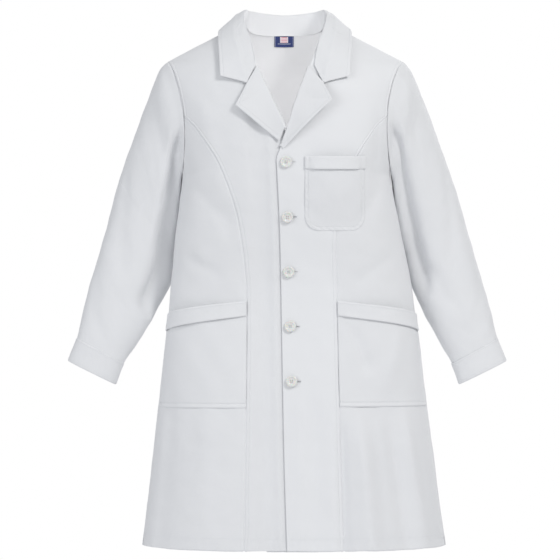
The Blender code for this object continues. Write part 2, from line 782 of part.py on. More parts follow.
def cut_buttonhole(k):
    point, normal = button_place(k)
    bm = bmesh.new()
    bmesh.ops.create_cube(bm, size=1.0)
    bmesh.ops.scale(bm, vec=(BUTTONHOLE[0], CUT_DEPTH, BUTTONHOLE[1]), verts=bm.verts)
    cutter = add(f"cut_buttonhole_{k + 1}", bm, LOOKS["cloth"], CUTTERS)
    cutter.location = point + Vector((BUTTONHOLE[0] / 2 + BUTTONHOLE_START, 0, 0)) - normal * CLOTH
    for name in ("front_left", "front_facing_left"):
        cut(bpy.data.objects[name], cutter)


# ---- label ---------------------------------------------------------------------------------------
def make_label():
    """The woven label below the back neck seam, and the small size tab on it. Both face the front."""
    for name, size, look in (("neck_label", LABEL, LOOKS["label"]), ("size_tab", SIZE_TAB, LOOKS["tab"])):

        def place(u, v, size=size):
            width, height, depth, drop = size
            return lifted((u - 0.5) * width + LABEL_X, -drop - v * height, 1, -depth)

        cloth(name, place, spread(4), spread(2), -LABEL_THICKNESS, core(-0.1), look=look)


def make_coat():
    make_torso()
    make_facings()
    make_pockets()
    make_collar()
    make_lapels()
    for hand, name in ((-1, "right"), (1, "left")):
        make_sleeve(hand, name)
    for k in range(BUTTON_COUNT):
        make_button(k)
        make_thread(k)
        cut_buttonhole(k)
    make_label()


clear_scene()
PARTS = collection("lab_coat")
CUTTERS = collection("cutters", hidden=True)
LOOKS = {
    "cloth": material("coat_cloth", WHITE, 0.85),
    "button": material("button_plastic", BUTTON_WHITE, 0.3),
    "thread": material("button_thread", WHITE, 0.8),
    "label": material("label_weave", NAVY, 0.8),
    "tab": material("tab_weave", WHITE, 0.8),
}
make_coat()
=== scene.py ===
"""The looks of the lab coat: woven cloth panels, collar, lapels, pockets, sleeves, buttons and label.

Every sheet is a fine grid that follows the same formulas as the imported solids. Metres, +Z up, -Y is the
front and +X is the wearer's left. "left" and "right" in the names are the wearer's.
"""

import json
import math

import bpy
import numpy as np
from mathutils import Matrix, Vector


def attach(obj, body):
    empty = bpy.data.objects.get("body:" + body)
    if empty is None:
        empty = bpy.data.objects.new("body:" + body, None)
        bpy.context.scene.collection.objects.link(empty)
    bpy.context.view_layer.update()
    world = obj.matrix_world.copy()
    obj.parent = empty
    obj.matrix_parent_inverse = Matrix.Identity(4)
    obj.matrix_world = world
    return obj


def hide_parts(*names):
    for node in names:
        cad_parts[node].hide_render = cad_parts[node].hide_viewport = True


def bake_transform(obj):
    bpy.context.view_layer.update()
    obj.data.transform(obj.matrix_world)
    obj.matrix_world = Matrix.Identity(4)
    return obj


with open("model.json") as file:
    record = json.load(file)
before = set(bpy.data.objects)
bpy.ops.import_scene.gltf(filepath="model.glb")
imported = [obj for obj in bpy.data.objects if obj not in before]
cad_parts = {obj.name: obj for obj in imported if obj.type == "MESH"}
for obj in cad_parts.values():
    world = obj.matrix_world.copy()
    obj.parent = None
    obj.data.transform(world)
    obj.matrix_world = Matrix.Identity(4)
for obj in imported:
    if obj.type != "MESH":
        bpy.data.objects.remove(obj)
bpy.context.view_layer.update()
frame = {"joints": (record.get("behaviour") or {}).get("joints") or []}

# ---- dimensions of the torso -----------------------------------------
LENGTH = 0.904
SHOULDER_HALF, SHOULDER_TIP_Z, SHOULDER_SLOPE, SHOULDER_ROLL = 0.2065, -0.043, 0.52, 0.11
NECK_HALF = 0.072
NECK_BACK_Z = 0.0065
NECK_SIDE_Z = SHOULDER_TIP_Z + SHOULDER_SLOPE * (SHOULDER_HALF - NECK_HALF)
UNDERARM_Z, ARMHOLE_DEPTH, SEAM_TOP_Z, MIDDLE_Y = -0.24, 0.06, -0.141, -0.06
HEM_RISE, FRONT_HEM_RISE, HEM_RISE_FROM, SECTION_POWER = 0.008, 0.004, -0.84, 3.2
HALF_WIDTH = [(-0.904, 0.268), (-0.75, 0.2493), (-0.6, 0.231), (-0.442, 0.2127), (-0.344, 0.1986),
              (-0.25, 0.184), (-0.19, 0.178), (-0.141, 0.1785), (-0.111, 0.182), (-0.083, 0.189),
              (-0.057, 0.1985), (-0.043, 0.2065)]
FRONT_DEPTH = [(-0.904, 0.118), (-0.75, 0.108), (-0.6, 0.095), (-0.442, 0.08), (-0.344, 0.092),
               (-0.25, 0.107), (-0.17, 0.11), (-0.1, 0.103), (-0.05, 0.092), (0.03, 0.075)]
BACK_DEPTH = [(-0.904, 0.125), (-0.75, 0.115), (-0.6, 0.098), (-0.442, 0.074), (-0.344, 0.084),
              (-0.25, 0.098), (-0.17, 0.104), (-0.1, 0.097), (-0.05, 0.084), (0.0, 0.0662),
              (0.03, 0.058)]
MIDDLE_X = [(-0.904, 0.016), (-0.62, 0.0135), (-0.442, 0.0115), (-0.344, 0.006), (-0.141, 0.001),
            (0.0, 0.0)]
SEAM_OFFSET = [(-0.904, 0.087), (-0.62, 0.081), (-0.45, 0.079), (-0.4, 0.08), (-0.355, 0.083),
               (-0.321, 0.088), (-0.288, 0.096), (-0.252, 0.108), (-0.218, 0.122), (-0.195, 0.135),
               (-0.175, 0.149), (-0.157, 0.1625), (-0.141, 0.1785)]
FRONT_EDGE = [(-0.904, 0.0035), (-0.735, -0.0015), (-0.52, -0.0055), (-0.344, -0.009), (-0.216, -0.015)]
RIGHT_ROLL = [(-0.222, 0.0247), (-0.169, 0.0009), (-0.054, -0.0506), (-0.005, -0.0625),
              (NECK_SIDE_Z, -NECK_HALF)]
LEFT_ROLL = [(-0.216, -0.015), (-0.168, 0.0039), (-0.108, 0.0228), (-0.047, 0.0459),
             (NECK_SIDE_Z, NECK_HALF)]
ROLL_END_Z, LAP_DEPTH, LAP_X = -0.216, 0.0048, 0.025
SIDES = ((-1, "right"), (1, "left"))

# ---- dimensions of the cloth -----------------------------------------
CLOTH, DOUBLE_CLOTH, LAYER_DEPTH = 0.0008, 0.0014, 0.0024
HEM_TURN, HEM_GAP, FIRST_OUTSIDE_ROW = 0.022, 0.0026, 8
FACING_INSET, FACING_WIDTH, RIGHT_FACING_X = 0.002, {"left": 0.053, "right": 0.055}, LAP_X - 0.057
WEDGE_SHARE = 0.5  # a wedge is declared by the rectangle that it half fills
STITCH_FROM_SEAM = 0.0065
SEAM_WIDTH, SEAM_DEPTH, SEAM_RIDGE = 0.0013, 0.0012, 0.00045
STITCH_DIP, PUCKER, CENTRE_SEAM_DEPTH, SHOULDER_SEAM_DIP = 0.0004, 0.00016, 0.0005, 0.0005
STITCH_LENGTH, STITCH_PITCH, STITCH_RADIUS = 0.0027, 0.0037, 0.00024
# Distances from an edge at which a sheet has columns of points: at a seam, at a free edge, where pieces go on
SEWN_EDGE = [0, 0.0006, 0.0013, 0.0022, 0.0034, 0.0048, 0.0057, 0.0065, 0.0073, 0.0084, 0.0105]
PLAIN_EDGE = [0, 0.0004, 0.0009, 0.0016, 0.0026, 0.0045]
JOINT_EDGE = [0, 0.0003, 0.002]
ROW_SAMPLES = 161  # points that measure the length of each row
FOLDED_EDGE = (0.002, 0.0012)  # how far from an edge a double cloth curls back, and how much
SHARP_ANGLE, BUTTON_SHARP_ANGLE = math.radians(55), math.radians(40)

# ---- dimensions of the small parts -----------------------------------
BUTTON_RADIUS, BUTTON_THICKNESS, BUTTON_COUNT, BUTTON_LIFT = 0.01, 0.0034, 5, 0.0022
BUTTON_TOP, BUTTON_PITCH, BUTTON_SEGMENTS = (0.0018, -0.223), (0.0024, -0.0955), 96
# Shares of the button's radius and thickness, from the middle of its face round its rim and back
BUTTON_PROFILE = [(0.0, 0.58), (0.3, 0.58), (0.5, 0.6), (0.58, 0.66), (0.63, 0.78), (0.68, 0.9),
                  (0.74, 0.98), (0.8, 1.0), (0.87, 0.99), (0.93, 0.92), (0.975, 0.8), (1.0, 0.62),
                  (1.0, 0.48), (0.97, 0.3), (0.9, 0.12), (0.8, 0.02), (0.7, 0.0), (0.0, 0.0)]
BUTTONHOLE, BUTTONHOLE_START = (0.0185, 0.0005), 0.002
THREAD_GAP, THREAD_RADIUS, THREAD_SAG, THREAD_RISE = 0.002, 0.00034, 0.0006, 0.0014
SHANK_OFFSET, SHANK_TURN, SHANK_RADIUS = 0.0006, 40, 0.00035
HOLE_OFFSET, HOLE_RADII, HOLE_DEPTH, HOLE_Z = 0.0021, (0.00075, 0.00105), 0.006, 0.002
# The stitches round a buttonhole: how far apart, how long, how thick and how high they are
SATIN_PITCH, SATIN_LENGTH, SATIN_RADIUS, SATIN_HEIGHT = 0.00042, 0.0013, 0.00023, 0.00035
CHEST_LEFT, CHEST_RIGHT, CHEST_TOP, CHEST_BOTTOM, CHEST_CORNER = 0.034, 0.14, -0.2145, -0.343, 0.026
CHEST_BAND, CHEST_SLIT_INSET = (-0.2125, -0.235), 0.009
HIP_POCKET = {"seam_top": -0.466, "side_top": -0.489, "side": 0.9}
HIP_BOTTOM = {-1: -0.652, 1: -0.6495}
HIP_BAND = (0.137, 0.187)  # the band's share of the pocket's height at the seam and at the side
HIP_STITCH, HIP_BAND_STITCH = 0.0078, 0.005
POCKET_EDGE_LIFT, CHEST_BULGE, HIP_BULGE = 0.0016, 0.007, 0.009
LABEL, SIZE_TAB, LABEL_DROP = (0.035, 0.0187), (0.015, 0.01), -0.0057

# ---- collar, lapels and sleeves --------------------------------------
# Stations of half the collar, from its front end to the middle of the back. A pair is (x, z) on the
# torso's front with its lift, a triple is a point with y from the middle plane.
COLLAR_SEAM = [((0.0515, -0.057), 0.001), ((0.059, -0.02), 0.001), ((0.067, 0.01), 0.001),
               (0.071, -0.002, 0.0265), (0.063, 0.0335, 0.0112), (0.0375, 0.0473, 0.0055),
               (0.0, 0.0554, 0.0053)]
COLLAR_FOLD = [((0.0505, -0.054), 0.004), ((0.0585, -0.014), 0.007), ((0.068, 0.019), 0.012),
               (0.07, -0.004, 0.048), (0.061, 0.027, 0.0485), (0.037, 0.044, 0.0455),
               (0.0, 0.0505, 0.0425)]
COLLAR_MIDDLE = [((0.0665, -0.085), 0.0062), ((0.076, -0.04), 0.0105), ((0.085, -0.002), 0.0135),
                 (0.087, -0.002, 0.04), (0.078, 0.044, 0.033), (0.045, 0.061, 0.0245),
                 (0.0, 0.0675, 0.0205)]
COLLAR_EDGE = [((0.11, -0.075), 0.011), ((0.112, -0.045), 0.0105), ((0.114, -0.01), 0.01),
               (0.116, -0.002, 0.013), (0.1, 0.054, -0.001), (0.057, 0.073, -0.013),
               (0.0, 0.079, -0.016)]
COLLAR_END_STATION, COLLAR_STITCH, GORGE, GORGE_DEPTH, LEAF_CROWN = 2.0, 0.0062, 0.036, 0.0004, 0.0015
RIGHT_LAPEL_EDGE = [(-0.01, -0.187), (-0.043, -0.16), (-0.084, -0.1255), (-0.0658, -0.0856)]
LEFT_LAPEL_EDGE = [(-0.003, -0.2), (0.026, -0.169), (0.079, -0.117), (0.0668, -0.0856)]
LAPEL_SPAN = {"right": (-0.164, -0.0576), "left": (-0.195, -0.0576)}
LAPEL_LIFT, LAPEL_BEHIND, LAPEL_CORNER, WRAP = 0.0018, 0.003, 0.62, 0.1
# How far each lapel stands off near its roll line and at its tip
LAPEL_STAND, LAPEL_TIP_LIFT = {-1: 0.0045, 1: 0.0012}, {-1: 0.012, 1: 0.019}
LAPEL_HOLD = {-1: 1.1, 1: 1.2}  # how soon that stand-off ends towards the notch
# Rows of the hanging sleeve: (x, z) outside and inside, y of the middle from the torso's, and half the depth
SLEEVE_HEAD = (0.0, 0.06)
SLEEVE = [((0.224, -0.062), (0.1865, -0.262), 0.014, 0.061),
          ((0.243, -0.107), (0.1885, -0.3), 0.029, 0.062),
          ((0.268, -0.173), (0.1945, -0.345), 0.036, 0.061),
          ((0.296, -0.253), (0.2015, -0.385), 0.04, 0.057),
          ((0.322, -0.345), (0.2075, -0.425), 0.038, 0.052),
          ((0.346, -0.428), (0.234, -0.481), 0.03, 0.045),
          ((0.363, -0.495), (0.258, -0.522), 0.018, 0.037),
          ((0.3715, -0.531), (0.289, -0.575), 0.008, 0.03),
          ((0.387, -0.571), (0.303, -0.6125), 0.002, 0.028)]
CUFF_ROW, SLEEVE_SPLIT, HEAD_ROUNDING, SLEEVE_POWER = 8, 4.0, 1.9, 0.8
CUFF_STEP, CUFF_STITCH, ELBOW_REACH = 0.0009, 0.004, 0.062
SLEEVE_SHIFT = [(-0.615, 0.004), (-0.53, 0.0065), (-0.44, 0.0115), (-0.344, 0.006), (-0.141, 0.001),
                (0.0, 0.0)]
OUTER_SHIFT = [(-0.571, 0.004), (-0.2, 0.0015), (-0.043, 0.0)]
# Creases of both sleeves, and of each one: angle and row of both ends, half-width in radians, height
COMMON_SLEEVE_FOLDS = [(0.5, 3.5, 1.3, 5.6, 0.25, -0.003), (4.4, 2.5, 4.9, 5.5, 0.3, -0.004),
                       (0.3, 5.5, 1.3, 7.5, 0.3, -0.0022)]
SLEEVE_FOLDS = {-1: [(2.25, -0.2, 2.55, 6.2, 0.46, -0.026), (1.72, 0.0, 1.85, 4.6, 0.22, 0.003)],
                1: [(2.0, -0.2, 2.4, 5.6, 0.34, -0.021), (2.3, 4.2, 1.6, 6.4, 0.25, -0.0035)]}


def blend_along(a, b, origin, direction, first, last):
    direction = np.array(direction) / np.linalg.norm(direction)
    ends = [tuple(float(v) for v in np.array(origin) + direction * place) for place in (first, last)]
    return a, b, ends[0], ends[1]


def elbow_blend(name):
    """The upper arm and the forearm, and the ends of a stretch around the elbow's axis."""
    joint = next(j for j in frame["joints"] if j["name"] == f"elbow_bend_{name}")
    axis = joint["axis"]
    sign = -1 if axis[0] > 0 else 1
    return blend_along(f"upper_arm_{name}", f"forearm_{name}", joint["pos_m"],
                       (-sign * axis[2], 0, sign * axis[0]), -ELBOW_REACH, ELBOW_REACH)


# A point on each lapel's roll line and the direction across it
LAPEL_TURN = {-1: ((-0.0257, -0.1665, -0.1108), (-0.912, 0, -0.4102)),
              1: ((0.0174, -0.1681, -0.1261), (0.9433, 0, -0.3318))}
COLLAR_BLEND, LAPEL_BLEND, SHOULDER_BLEND, ELBOW_BLEND = {}, {}, {}, {}
for hand, name in SIDES:
    turn, arm, across_arm = f"lapel_turn_{name}", f"upper_arm_{name}", (hand * 0.9935, 0, -0.1135)
    COLLAR_BLEND[hand] = blend_along("coat", turn, (0, -0.12, 0), (hand * -0.534, 0, -0.846), -0.043, 0.005)
    LAPEL_BLEND[hand] = blend_along("coat", turn, *LAPEL_TURN[hand], -0.002, 0.014)
    SHOULDER_BLEND[hand] = blend_along("coat", arm, (0, MIDDLE_Y, 0), across_arm, 0.2106, 0.2195)
    ELBOW_BLEND[hand] = elbow_blend(name)

# ---- camera and light ------------------------------------------------
CAMERA_AIM, CAMERA_PLANE_Y, CAMERA_DISTANCE, FRAME_WIDTH = (-0.00875, -0.4284), -0.12, 7.0, 0.98
AMBIENT, KEY_POWER, FILL_POWER = 0.53, 50.0, 32.0
RIM_POWER, NECK_POWER = 28.0, 0.17
FLOOR_Z, FLOOR_RADIUS, FLOOR_RINGS, FLOOR_SEGMENTS = -1.25, 1.6, 12, 96


# ---- formulas --------------------------------------------------------
def hermite(s, first, last, start, end):
    """A cubic from first to last as s goes from 0 to 1, with the slopes start and end."""
    return ((2 * s**3 - 3 * s**2 + 1) * first + (s**3 - 2 * s**2 + s) * start
            + (3 * s**2 - 2 * s**3) * last + (s**3 - s**2) * end)


def curve(table, at):
    """A smooth curve through (place, value) pairs, level beyond both ends, for a whole array at once."""
    places = np.array([row[0] for row in table], float)
    values = np.array([row[1] for row in table], float)
    at = np.clip(np.asarray(at, float), places[0], places[-1])
    i = np.clip(np.searchsorted(places, at, side="left") - 1, 0, len(places) - 2)
    before, after = np.maximum(i - 1, 0), np.minimum(i + 2, len(places) - 1)
    step = places[i + 1] - places[i]
    start = (values[i + 1] - values[before]) / (places[i + 1] - places[before]) * step
    end = (values[after] - values[i]) / (places[after] - places[i]) * step
    return hermite((at - places[i]) / step, values[i], values[i + 1], start, end)


def mix(a, b, share):
    return a + (b - a) * share


def smooth(x):
    x = np.clip(x, 0.0, 1.0)
    return x * x * (3 - 2 * x)


def bump(x, width):
    return np.exp(-((x / width) ** 2))


def stack(x, y, z):
    return np.stack(np.broadcast_arrays(x, y, z), axis=-1)


def middle_x(z):
    return curve(MIDDLE_X, z)


def half_width(z):
    return curve(HALF_WIDTH, z)


def shoulder_z(x):
    return SHOULDER_TIP_Z + SHOULDER_SLOPE * (SHOULDER_HALF - np.abs(x))


def neck_z(x):
    share = np.minimum(np.abs(x) / NECK_HALF, 1.0)
    return mix(NECK_BACK_Z, NECK_SIDE_Z, 1 - np.sqrt(1 - share**6))


def armhole_depth(z):
    middle, half = (SHOULDER_TIP_Z + UNDERARM_Z) / 2, (SHOULDER_TIP_Z - UNDERARM_Z) / 2
    return ARMHOLE_DEPTH * np.sqrt(np.maximum(0.0, 1 - ((z - middle) / half) ** 2))


def torso(x, z, side):
    """Points of the undraped torso at x and z. side is -1 for the front and 1 for the back."""
    share = np.minimum(np.abs(x - middle_x(z)) / half_width(z), 1.0)
    rise = np.clip((shoulder_z(x) - z) / SHOULDER_ROLL, 0.0, 1.0)
    depth = curve(FRONT_DEPTH if side < 0 else BACK_DEPTH, z) * np.sqrt(1 - (1 - rise) ** 2)
    edge = armhole_depth(z)
    power = 0.5 + 0.4 * edge / ARMHOLE_DEPTH
    return stack(x, MIDDLE_Y + side * (edge + (depth - edge) * (1 - share**SECTION_POWER) ** power), z)


def unit(v):
    return v / np.maximum(np.linalg.norm(v, axis=-1, keepdims=True), 1e-12)


def outward(x, z, side):
    step = 0.002
    along = torso(x + step, z, side) - torso(x - step, z, side)
    up = torso(x, z + step, side) - torso(x, z - step, side)
    return unit(np.cross(along, up)) * -side


# Soft folds of the front: start (x, z), end (x, z), half-width, height
FRONT_FOLDS = [
    ((0.097, -0.63), (0.105, -0.99), 0.011, -0.008),
    ((0.126, -0.63), (0.16, -0.99), 0.021, 0.0135),
    ((0.176, -0.63), (0.226, -0.96), 0.015, -0.007),
    ((0.201, -0.61), (0.252, -0.96), 0.014, 0.0055),
    ((0.05, -0.6), (0.062, -0.98), 0.02, -0.003),
    ((0.022, -0.56), (0.03, -0.98), 0.014, 0.0022),
    ((0.112, -0.5), (0.15, -0.6), 0.012, -0.0035),
    ((0.2, -0.5), (0.17, -0.64), 0.014, 0.0028),
    ((-0.13, -0.56), (-0.15, -0.98), 0.03, 0.004),
    ((-0.2, -0.56), (-0.225, -0.98), 0.02, -0.0035),
    ((-0.172, -0.255), (-0.08, -0.35), 0.014, -0.0022),
    ((0.178, -0.255), (0.11, -0.35), 0.014, -0.0022),
    ((-0.15, -0.1), (-0.12, -0.23), 0.016, 0.0022),
    ((0.165, -0.11), (0.16, -0.3), 0.012, -0.003),
    ((-0.185, -0.38), (-0.1, -0.43), 0.012, -0.002),
    ((0.2, -0.38), (0.11, -0.44), 0.012, -0.0018),
]
BACK_FOLDS = [
    ((-0.06, -0.42), (-0.085, -0.96), 0.022, 0.007),
    ((0.075, -0.43), (0.1, -0.96), 0.022, 0.007),
    ((0.01, -0.48), (0.014, -0.96), 0.026, -0.006),
    ((-0.15, -0.48), (-0.19, -0.96), 0.024, -0.006),
    ((0.16, -0.48), (0.205, -0.96), 0.024, -0.006),
    ((-0.12, -0.14), (-0.02, -0.3), 0.022, -0.0025),
    ((0.12, -0.14), (0.02, -0.3), 0.022, -0.0025),
    ((-0.13, -0.36), (0.0, -0.41), 0.013, -0.003),
    ((0.14, -0.37), (0.01, -0.425), 0.013, -0.003),
]


def drape(x, z, side):
    """How far the hanging cloth stands off the plain torso."""
    total = np.zeros(np.broadcast(x, z).shape)
    for (x0, z0), (x1, z1), width, height in FRONT_FOLDS if side < 0 else BACK_FOLDS:
        dx, dz = x1 - x0, z1 - z0
        length = math.hypot(dx, dz)
        share = ((x - x0) * dx + (z - z0) * dz) / length**2
        away = ((x - x0) * dz - (z - z0) * dx) / length
        fade = smooth(share * 3) * smooth((1 - share) * 4)
        total += height * bump(away, width * (0.7 + 0.5 * np.clip(share, 0, 1))) * fade
    across = (x - middle_x(z)) / half_width(z)
    waves = np.sin(9.0 * across + 1.1 * side) * 0.002 + np.sin(17.0 * across + 2.0) * 0.0004
    total = total + waves * smooth((-0.4 - z) / 0.35)
    return total * smooth((1 - np.abs(across)) * 9) * smooth((shoulder_z(x) - z) / 0.05)


def lifted(x, z, side, lift):
    return torso(x, z, side) + outward(x, z, side) * (lift + drape(x, z, side))[..., None]


def turn_of(x, z):
    return np.arcsin(np.clip((x - middle_x(z)) / half_width(z), -1.0, 1.0)) * 2 / math.pi


def x_of(turn, z):
    return middle_x(z) + half_width(z) * np.sin(turn * math.pi / 2)


def seam_x(z, hand):
    return middle_x(z) + hand * curve(SEAM_OFFSET, z)


def right_inner_x(z):
    return np.where(z > RIGHT_ROLL[0][0], np.minimum(LAP_X, curve(RIGHT_ROLL, z)), LAP_X)


def left_inner_x(z):
    return np.where(z > ROLL_END_Z, curve(LEFT_ROLL, z), curve(FRONT_EDGE, z))


def lap_lift(x, z):
    from_edge = x - curve(FRONT_EDGE, z)
    return -LAP_DEPTH * smooth((from_edge + 0.06) / 0.028) + 0.0036 * bump(from_edge + 0.0105, 0.0095)


def ripple(a, b, pitch, seed):
    """Soft irregular waves over a surface, from about -1 to 1."""
    draw = np.random.default_rng(seed)
    total = np.zeros(np.broadcast(a, b).shape)
    for _ in range(8):
        angle, phase = draw.uniform(0, 2 * math.pi, 2)
        rate = 2 * math.pi / pitch * draw.uniform(0.6, 1.6)
        total += np.sin(rate * (a * math.cos(angle) + b * math.sin(angle)) + phase)
    return total / 4


# ---- sheets ----------------------------------------------------------
class Sheet:
    """Points and normals, their x and z before any relief, the distances from the edges, and the object."""


def spaced(first, last, step):
    """Even places from first to last, about a step apart."""
    return list(np.linspace(first, last, max(2, round(abs(last - first) / step) + 1)))


def arcs(points, axis):
    """The length along a grid of points, from its start in the direction of an axis."""
    steps = np.linalg.norm(np.diff(points, axis=axis), axis=-1)
    start = np.zeros([1 if k == axis else n for k, n in enumerate(steps.shape)])
    return np.concatenate([start, np.cumsum(steps, axis=axis)], axis=axis)


def grid_normals(points, wrap=False):
    if wrap:
        ring = np.concatenate([points[:, -2:-1], points, points[:, 1:2]], axis=1)
        across = np.gradient(ring, axis=1)[:, 1:-1]
    else:
        across = np.gradient(points, axis=1)
    return unit(np.cross(across, np.gradient(points, axis=0)))


def make_object(name, verts, faces, look):
    mesh = bpy.data.meshes.new(name)
    mesh.from_pydata(verts, [], faces)
    mesh.materials.append(LOOKS[look])
    mesh.shade_smooth()
    made = bpy.data.objects.new(name, mesh)
    bpy.context.scene.collection.objects.link(made)
    return made


def columns_of(total, left, right, step):
    """Distances across each row at which a sheet has its columns."""
    left, right = np.array(left), np.array(right)
    scale = np.minimum(1.0, 0.9 * total / (left[-1] + right[-1] + 1e-9))
    first, last = left * scale, total - right[::-1] * scale
    count = max(2, round((float(total.max()) - left[-1] - right[-1]) / step))
    between = mix(first[:, -1:], last[:, :1], np.linspace(0, 1, count + 1)[None, 1:-1])
    return np.concatenate([first, between, last], axis=1)


def sheet(name, place, rows, behind, left=PLAIN_EDGE, right=PLAIN_EDGE, step=0.0045, detail=None, tube=False,
          thickness=CLOTH, look="cloth"):
    """A closed sheet of cloth whose outer face runs through place(u, row). Its columns are at set distances
    from its edges, detail(sheet) moves it along its normals, and its thickness goes towards `behind`."""
    row = np.arange(rows)[:, None]
    dense = np.linspace(0.0, 1.0, ROW_SAMPLES)[None, :]
    run = arcs(place(*np.broadcast_arrays(dense, row)), 1)
    total = run[:, -1:]
    if tube:
        count = max(24, round(float(total.max()) / step))
        wanted = np.linspace(0, 1, count + 1)[None, :] * total
    else:
        wanted = columns_of(total, left, right, step)
    u = np.stack([np.interp(w, r, dense[0]) for w, r in zip(wanted, run)])
    points = place(u, np.broadcast_to(row, u.shape))
    normals = grid_normals(points, tube)
    flip = np.sum(normals * (points - np.array(behind))) < 0
    if flip:
        normals = -normals
    made = Sheet()
    made.from_left, made.from_right, made.along = wanted, total - wanted, arcs(points, 0)
    made.from_end = made.along[-1:] - made.along
    made.x, made.z = points[..., 0], points[..., 2]
    if detail is not None:
        points = points + normals * detail(made)[..., None]
        normals = grid_normals(points, tube) * (-1 if flip else 1)
    made.points, made.normals = points, normals
    made.width, made.length = float(total.max()), float(made.along[-1].max())
    cell = np.cross(points[1:, :-1] - points[:-1, :-1], points[:-1, 1:] - points[:-1, :-1])
    made.area = float(np.linalg.norm(cell, axis=-1).sum())
    across = u.shape[1] - (1 if tube else 0)
    outer = points[:, :across].reshape(-1, 3)
    depth = np.broadcast_to(thickness(made) if callable(thickness) else thickness, u.shape)
    inner = (points - normals * depth[..., None])[:, :across].reshape(-1, 3)
    index = np.arange(rows * across).reshape(rows, across)
    if tube:
        index = np.concatenate([index, index[:, :1]], axis=1)
    a, b, c, d = index[:-1, :-1], index[:-1, 1:], index[1:, 1:], index[1:, :-1]
    quads = np.stack([a, d, c, b] if flip else [a, b, c, d], axis=-1).reshape(-1, 4)
    back = quads[:, ::-1] + rows * across
    edges = [index[0], index[-1][::-1]] + ([] if tube else [index[::-1, 0], index[:, -1]])
    rims = []
    for edge in edges:
        rim = np.stack([edge[1:], edge[:-1], edge[:-1] + rows * across, edge[1:] + rows * across], axis=-1)
        rims.append(rim[:, ::-1] if flip else rim)
    faces = np.concatenate([quads, back] + rims)
    made.object = make_object(name, np.concatenate([outer, inner]).tolist(), faces.tolist(), look)
    made.object.data.set_sharp_from_angle(angle=SHARP_ANGLE)
    weave = np.stack([wanted, made.along, np.zeros_like(wanted)], axis=-1)[:, :across].reshape(-1, 3)
    attribute = made.object.data.attributes.new("weave", "FLOAT_VECTOR", "POINT")
    attribute.data.foreach_set("vector", np.concatenate([weave, weave]).astype(np.float32).ravel())
    return made


def plain_seam(distance, depth=SEAM_DEPTH):
    """The dip at a seam, by the distance from it."""
    return -depth * bump(distance, SEAM_WIDTH)


def centre_seam(distance):
    return plain_seam(distance, CENTRE_SEAM_DEPTH)


def stitched_seam(distance):
    """The dip at a seam, and the ridge and dimple of the stitches beside it."""
    ridge = SEAM_RIDGE * smooth(distance / 0.003) * smooth((STITCH_FROM_SEAM - distance) / 0.002)
    return plain_seam(distance) + ridge - STITCH_DIP * bump(distance - STITCH_FROM_SEAM, 0.0008)


def pucker(distance, along, seed):
    """Short ripples where the stitches gather the cloth."""
    wave = np.sin(along / 0.0021 + 2.0 * np.sin(along / 0.031 + seed))
    return PUCKER * (wave * (0.6 + 0.4 * np.sin(along / 0.047 + seed))) * bump(distance - 0.004, 0.006)


def rounded(distance, radius=0.0016, height=0.0009):
    """How far a folded edge curls back, by the distance from it."""
    return -height * (1 - np.clip(distance / radius, 0, 1)) ** 2


def outline_distance(made):
    """The distance of each point from the nearest edge of its sheet."""
    return np.minimum(np.minimum(made.from_left, made.from_right), np.minimum(made.along, made.from_end))


def stitches(name, lines):
    """Rows of short raised stitches along lines of (points, normals)."""
    verts, faces = [], []
    turns = math.pi / 4 + np.arange(4) * math.pi / 2
    for points, normals in lines:
        run = np.concatenate([[0], np.cumsum(np.linalg.norm(np.diff(points, axis=0), axis=1))])
        count = int(run[-1] / STITCH_PITCH)
        if count < 1:
            continue
        centres = (np.arange(count) + 0.5) * run[-1] / count

        def at(shift, values, centres=centres, run=run):
            return np.stack([np.interp(centres + shift, run, values[:, k]) for k in range(3)], axis=1)

        up = unit(at(0.0, normals))
        first, last = at(-STITCH_LENGTH / 2, points), at(STITCH_LENGTH / 2, points)
        side = unit(np.cross(last - first, up))
        ring = 1.4 * np.cos(turns)[None, :, None] * side[:, None] + np.sin(turns)[None, :, None] * up[:, None]
        near = at(-STITCH_LENGTH / 4, points)[:, None] + STITCH_RADIUS * (ring + 0.6 * up[:, None])
        far = at(STITCH_LENGTH / 4, points)[:, None] + STITCH_RADIUS * (ring + 0.6 * up[:, None])
        block = np.concatenate([first[:, None], near, far, last[:, None]], axis=1)
        base = len(verts)
        verts.extend(map(tuple, block.reshape(-1, 3)))
        for k in range(count):
            start = base + 10 * k
            for turn in range(4):
                a, b = start + 1 + turn, start + 1 + (turn + 1) % 4
                faces.extend([(start, b, a), (a, b, b + 4, a + 4), (start + 9, a + 4, b + 4)])
    return make_object(name, verts, faces, "thread")


def column_line(made, distance, first=0, last=None):
    """Points and normals a set distance from the left edge of a sheet, or from its right edge if negative."""
    from_edge = made.from_left if distance >= 0 else made.from_right
    at = np.argmin(np.abs(from_edge - abs(distance)), axis=1)
    rows = np.arange(len(at))[first:last]
    return made.points[rows, at[first:last]], made.normals[rows, at[first:last]]


def row_line(made, distance):
    """Points and normals a set distance along a sheet from its first row, or from its last if negative."""
    middle = made.along.shape[1] // 2
    along = made.along[:, middle] if distance >= 0 else made.from_end[:, middle]
    row = int(np.argmin(np.abs(along - abs(distance))))
    return made.points[row], made.normals[row]


def finish_solid(piece, body, slot, *replaced, blend=None):
    """Ties a piece to its body, or bakes its place into its mesh when it lies between two, and hides the
    solids it stands for.
    """
    if blend:
        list(blend)
        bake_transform(piece)
    else:
        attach(piece, body)
    if replaced:
        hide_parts(*replaced)


def finish_cloth(made, body, replaced, blend=None, slot="cloth"):
    finish_solid(made.object, body, slot, replaced, blend=blend)
    width, length = round(made.width, 4), round(made.length, 4)
    if made.area < WEDGE_SHARE * width * length:
        length = round(made.area / (WEDGE_SHARE * width), 4)
    area = round(min(made.area, width * length), 7)


def finish_stitches(name, lines, body, blend=None):
    finish_solid(stitches(name, lines), body, "thread", blend=blend)


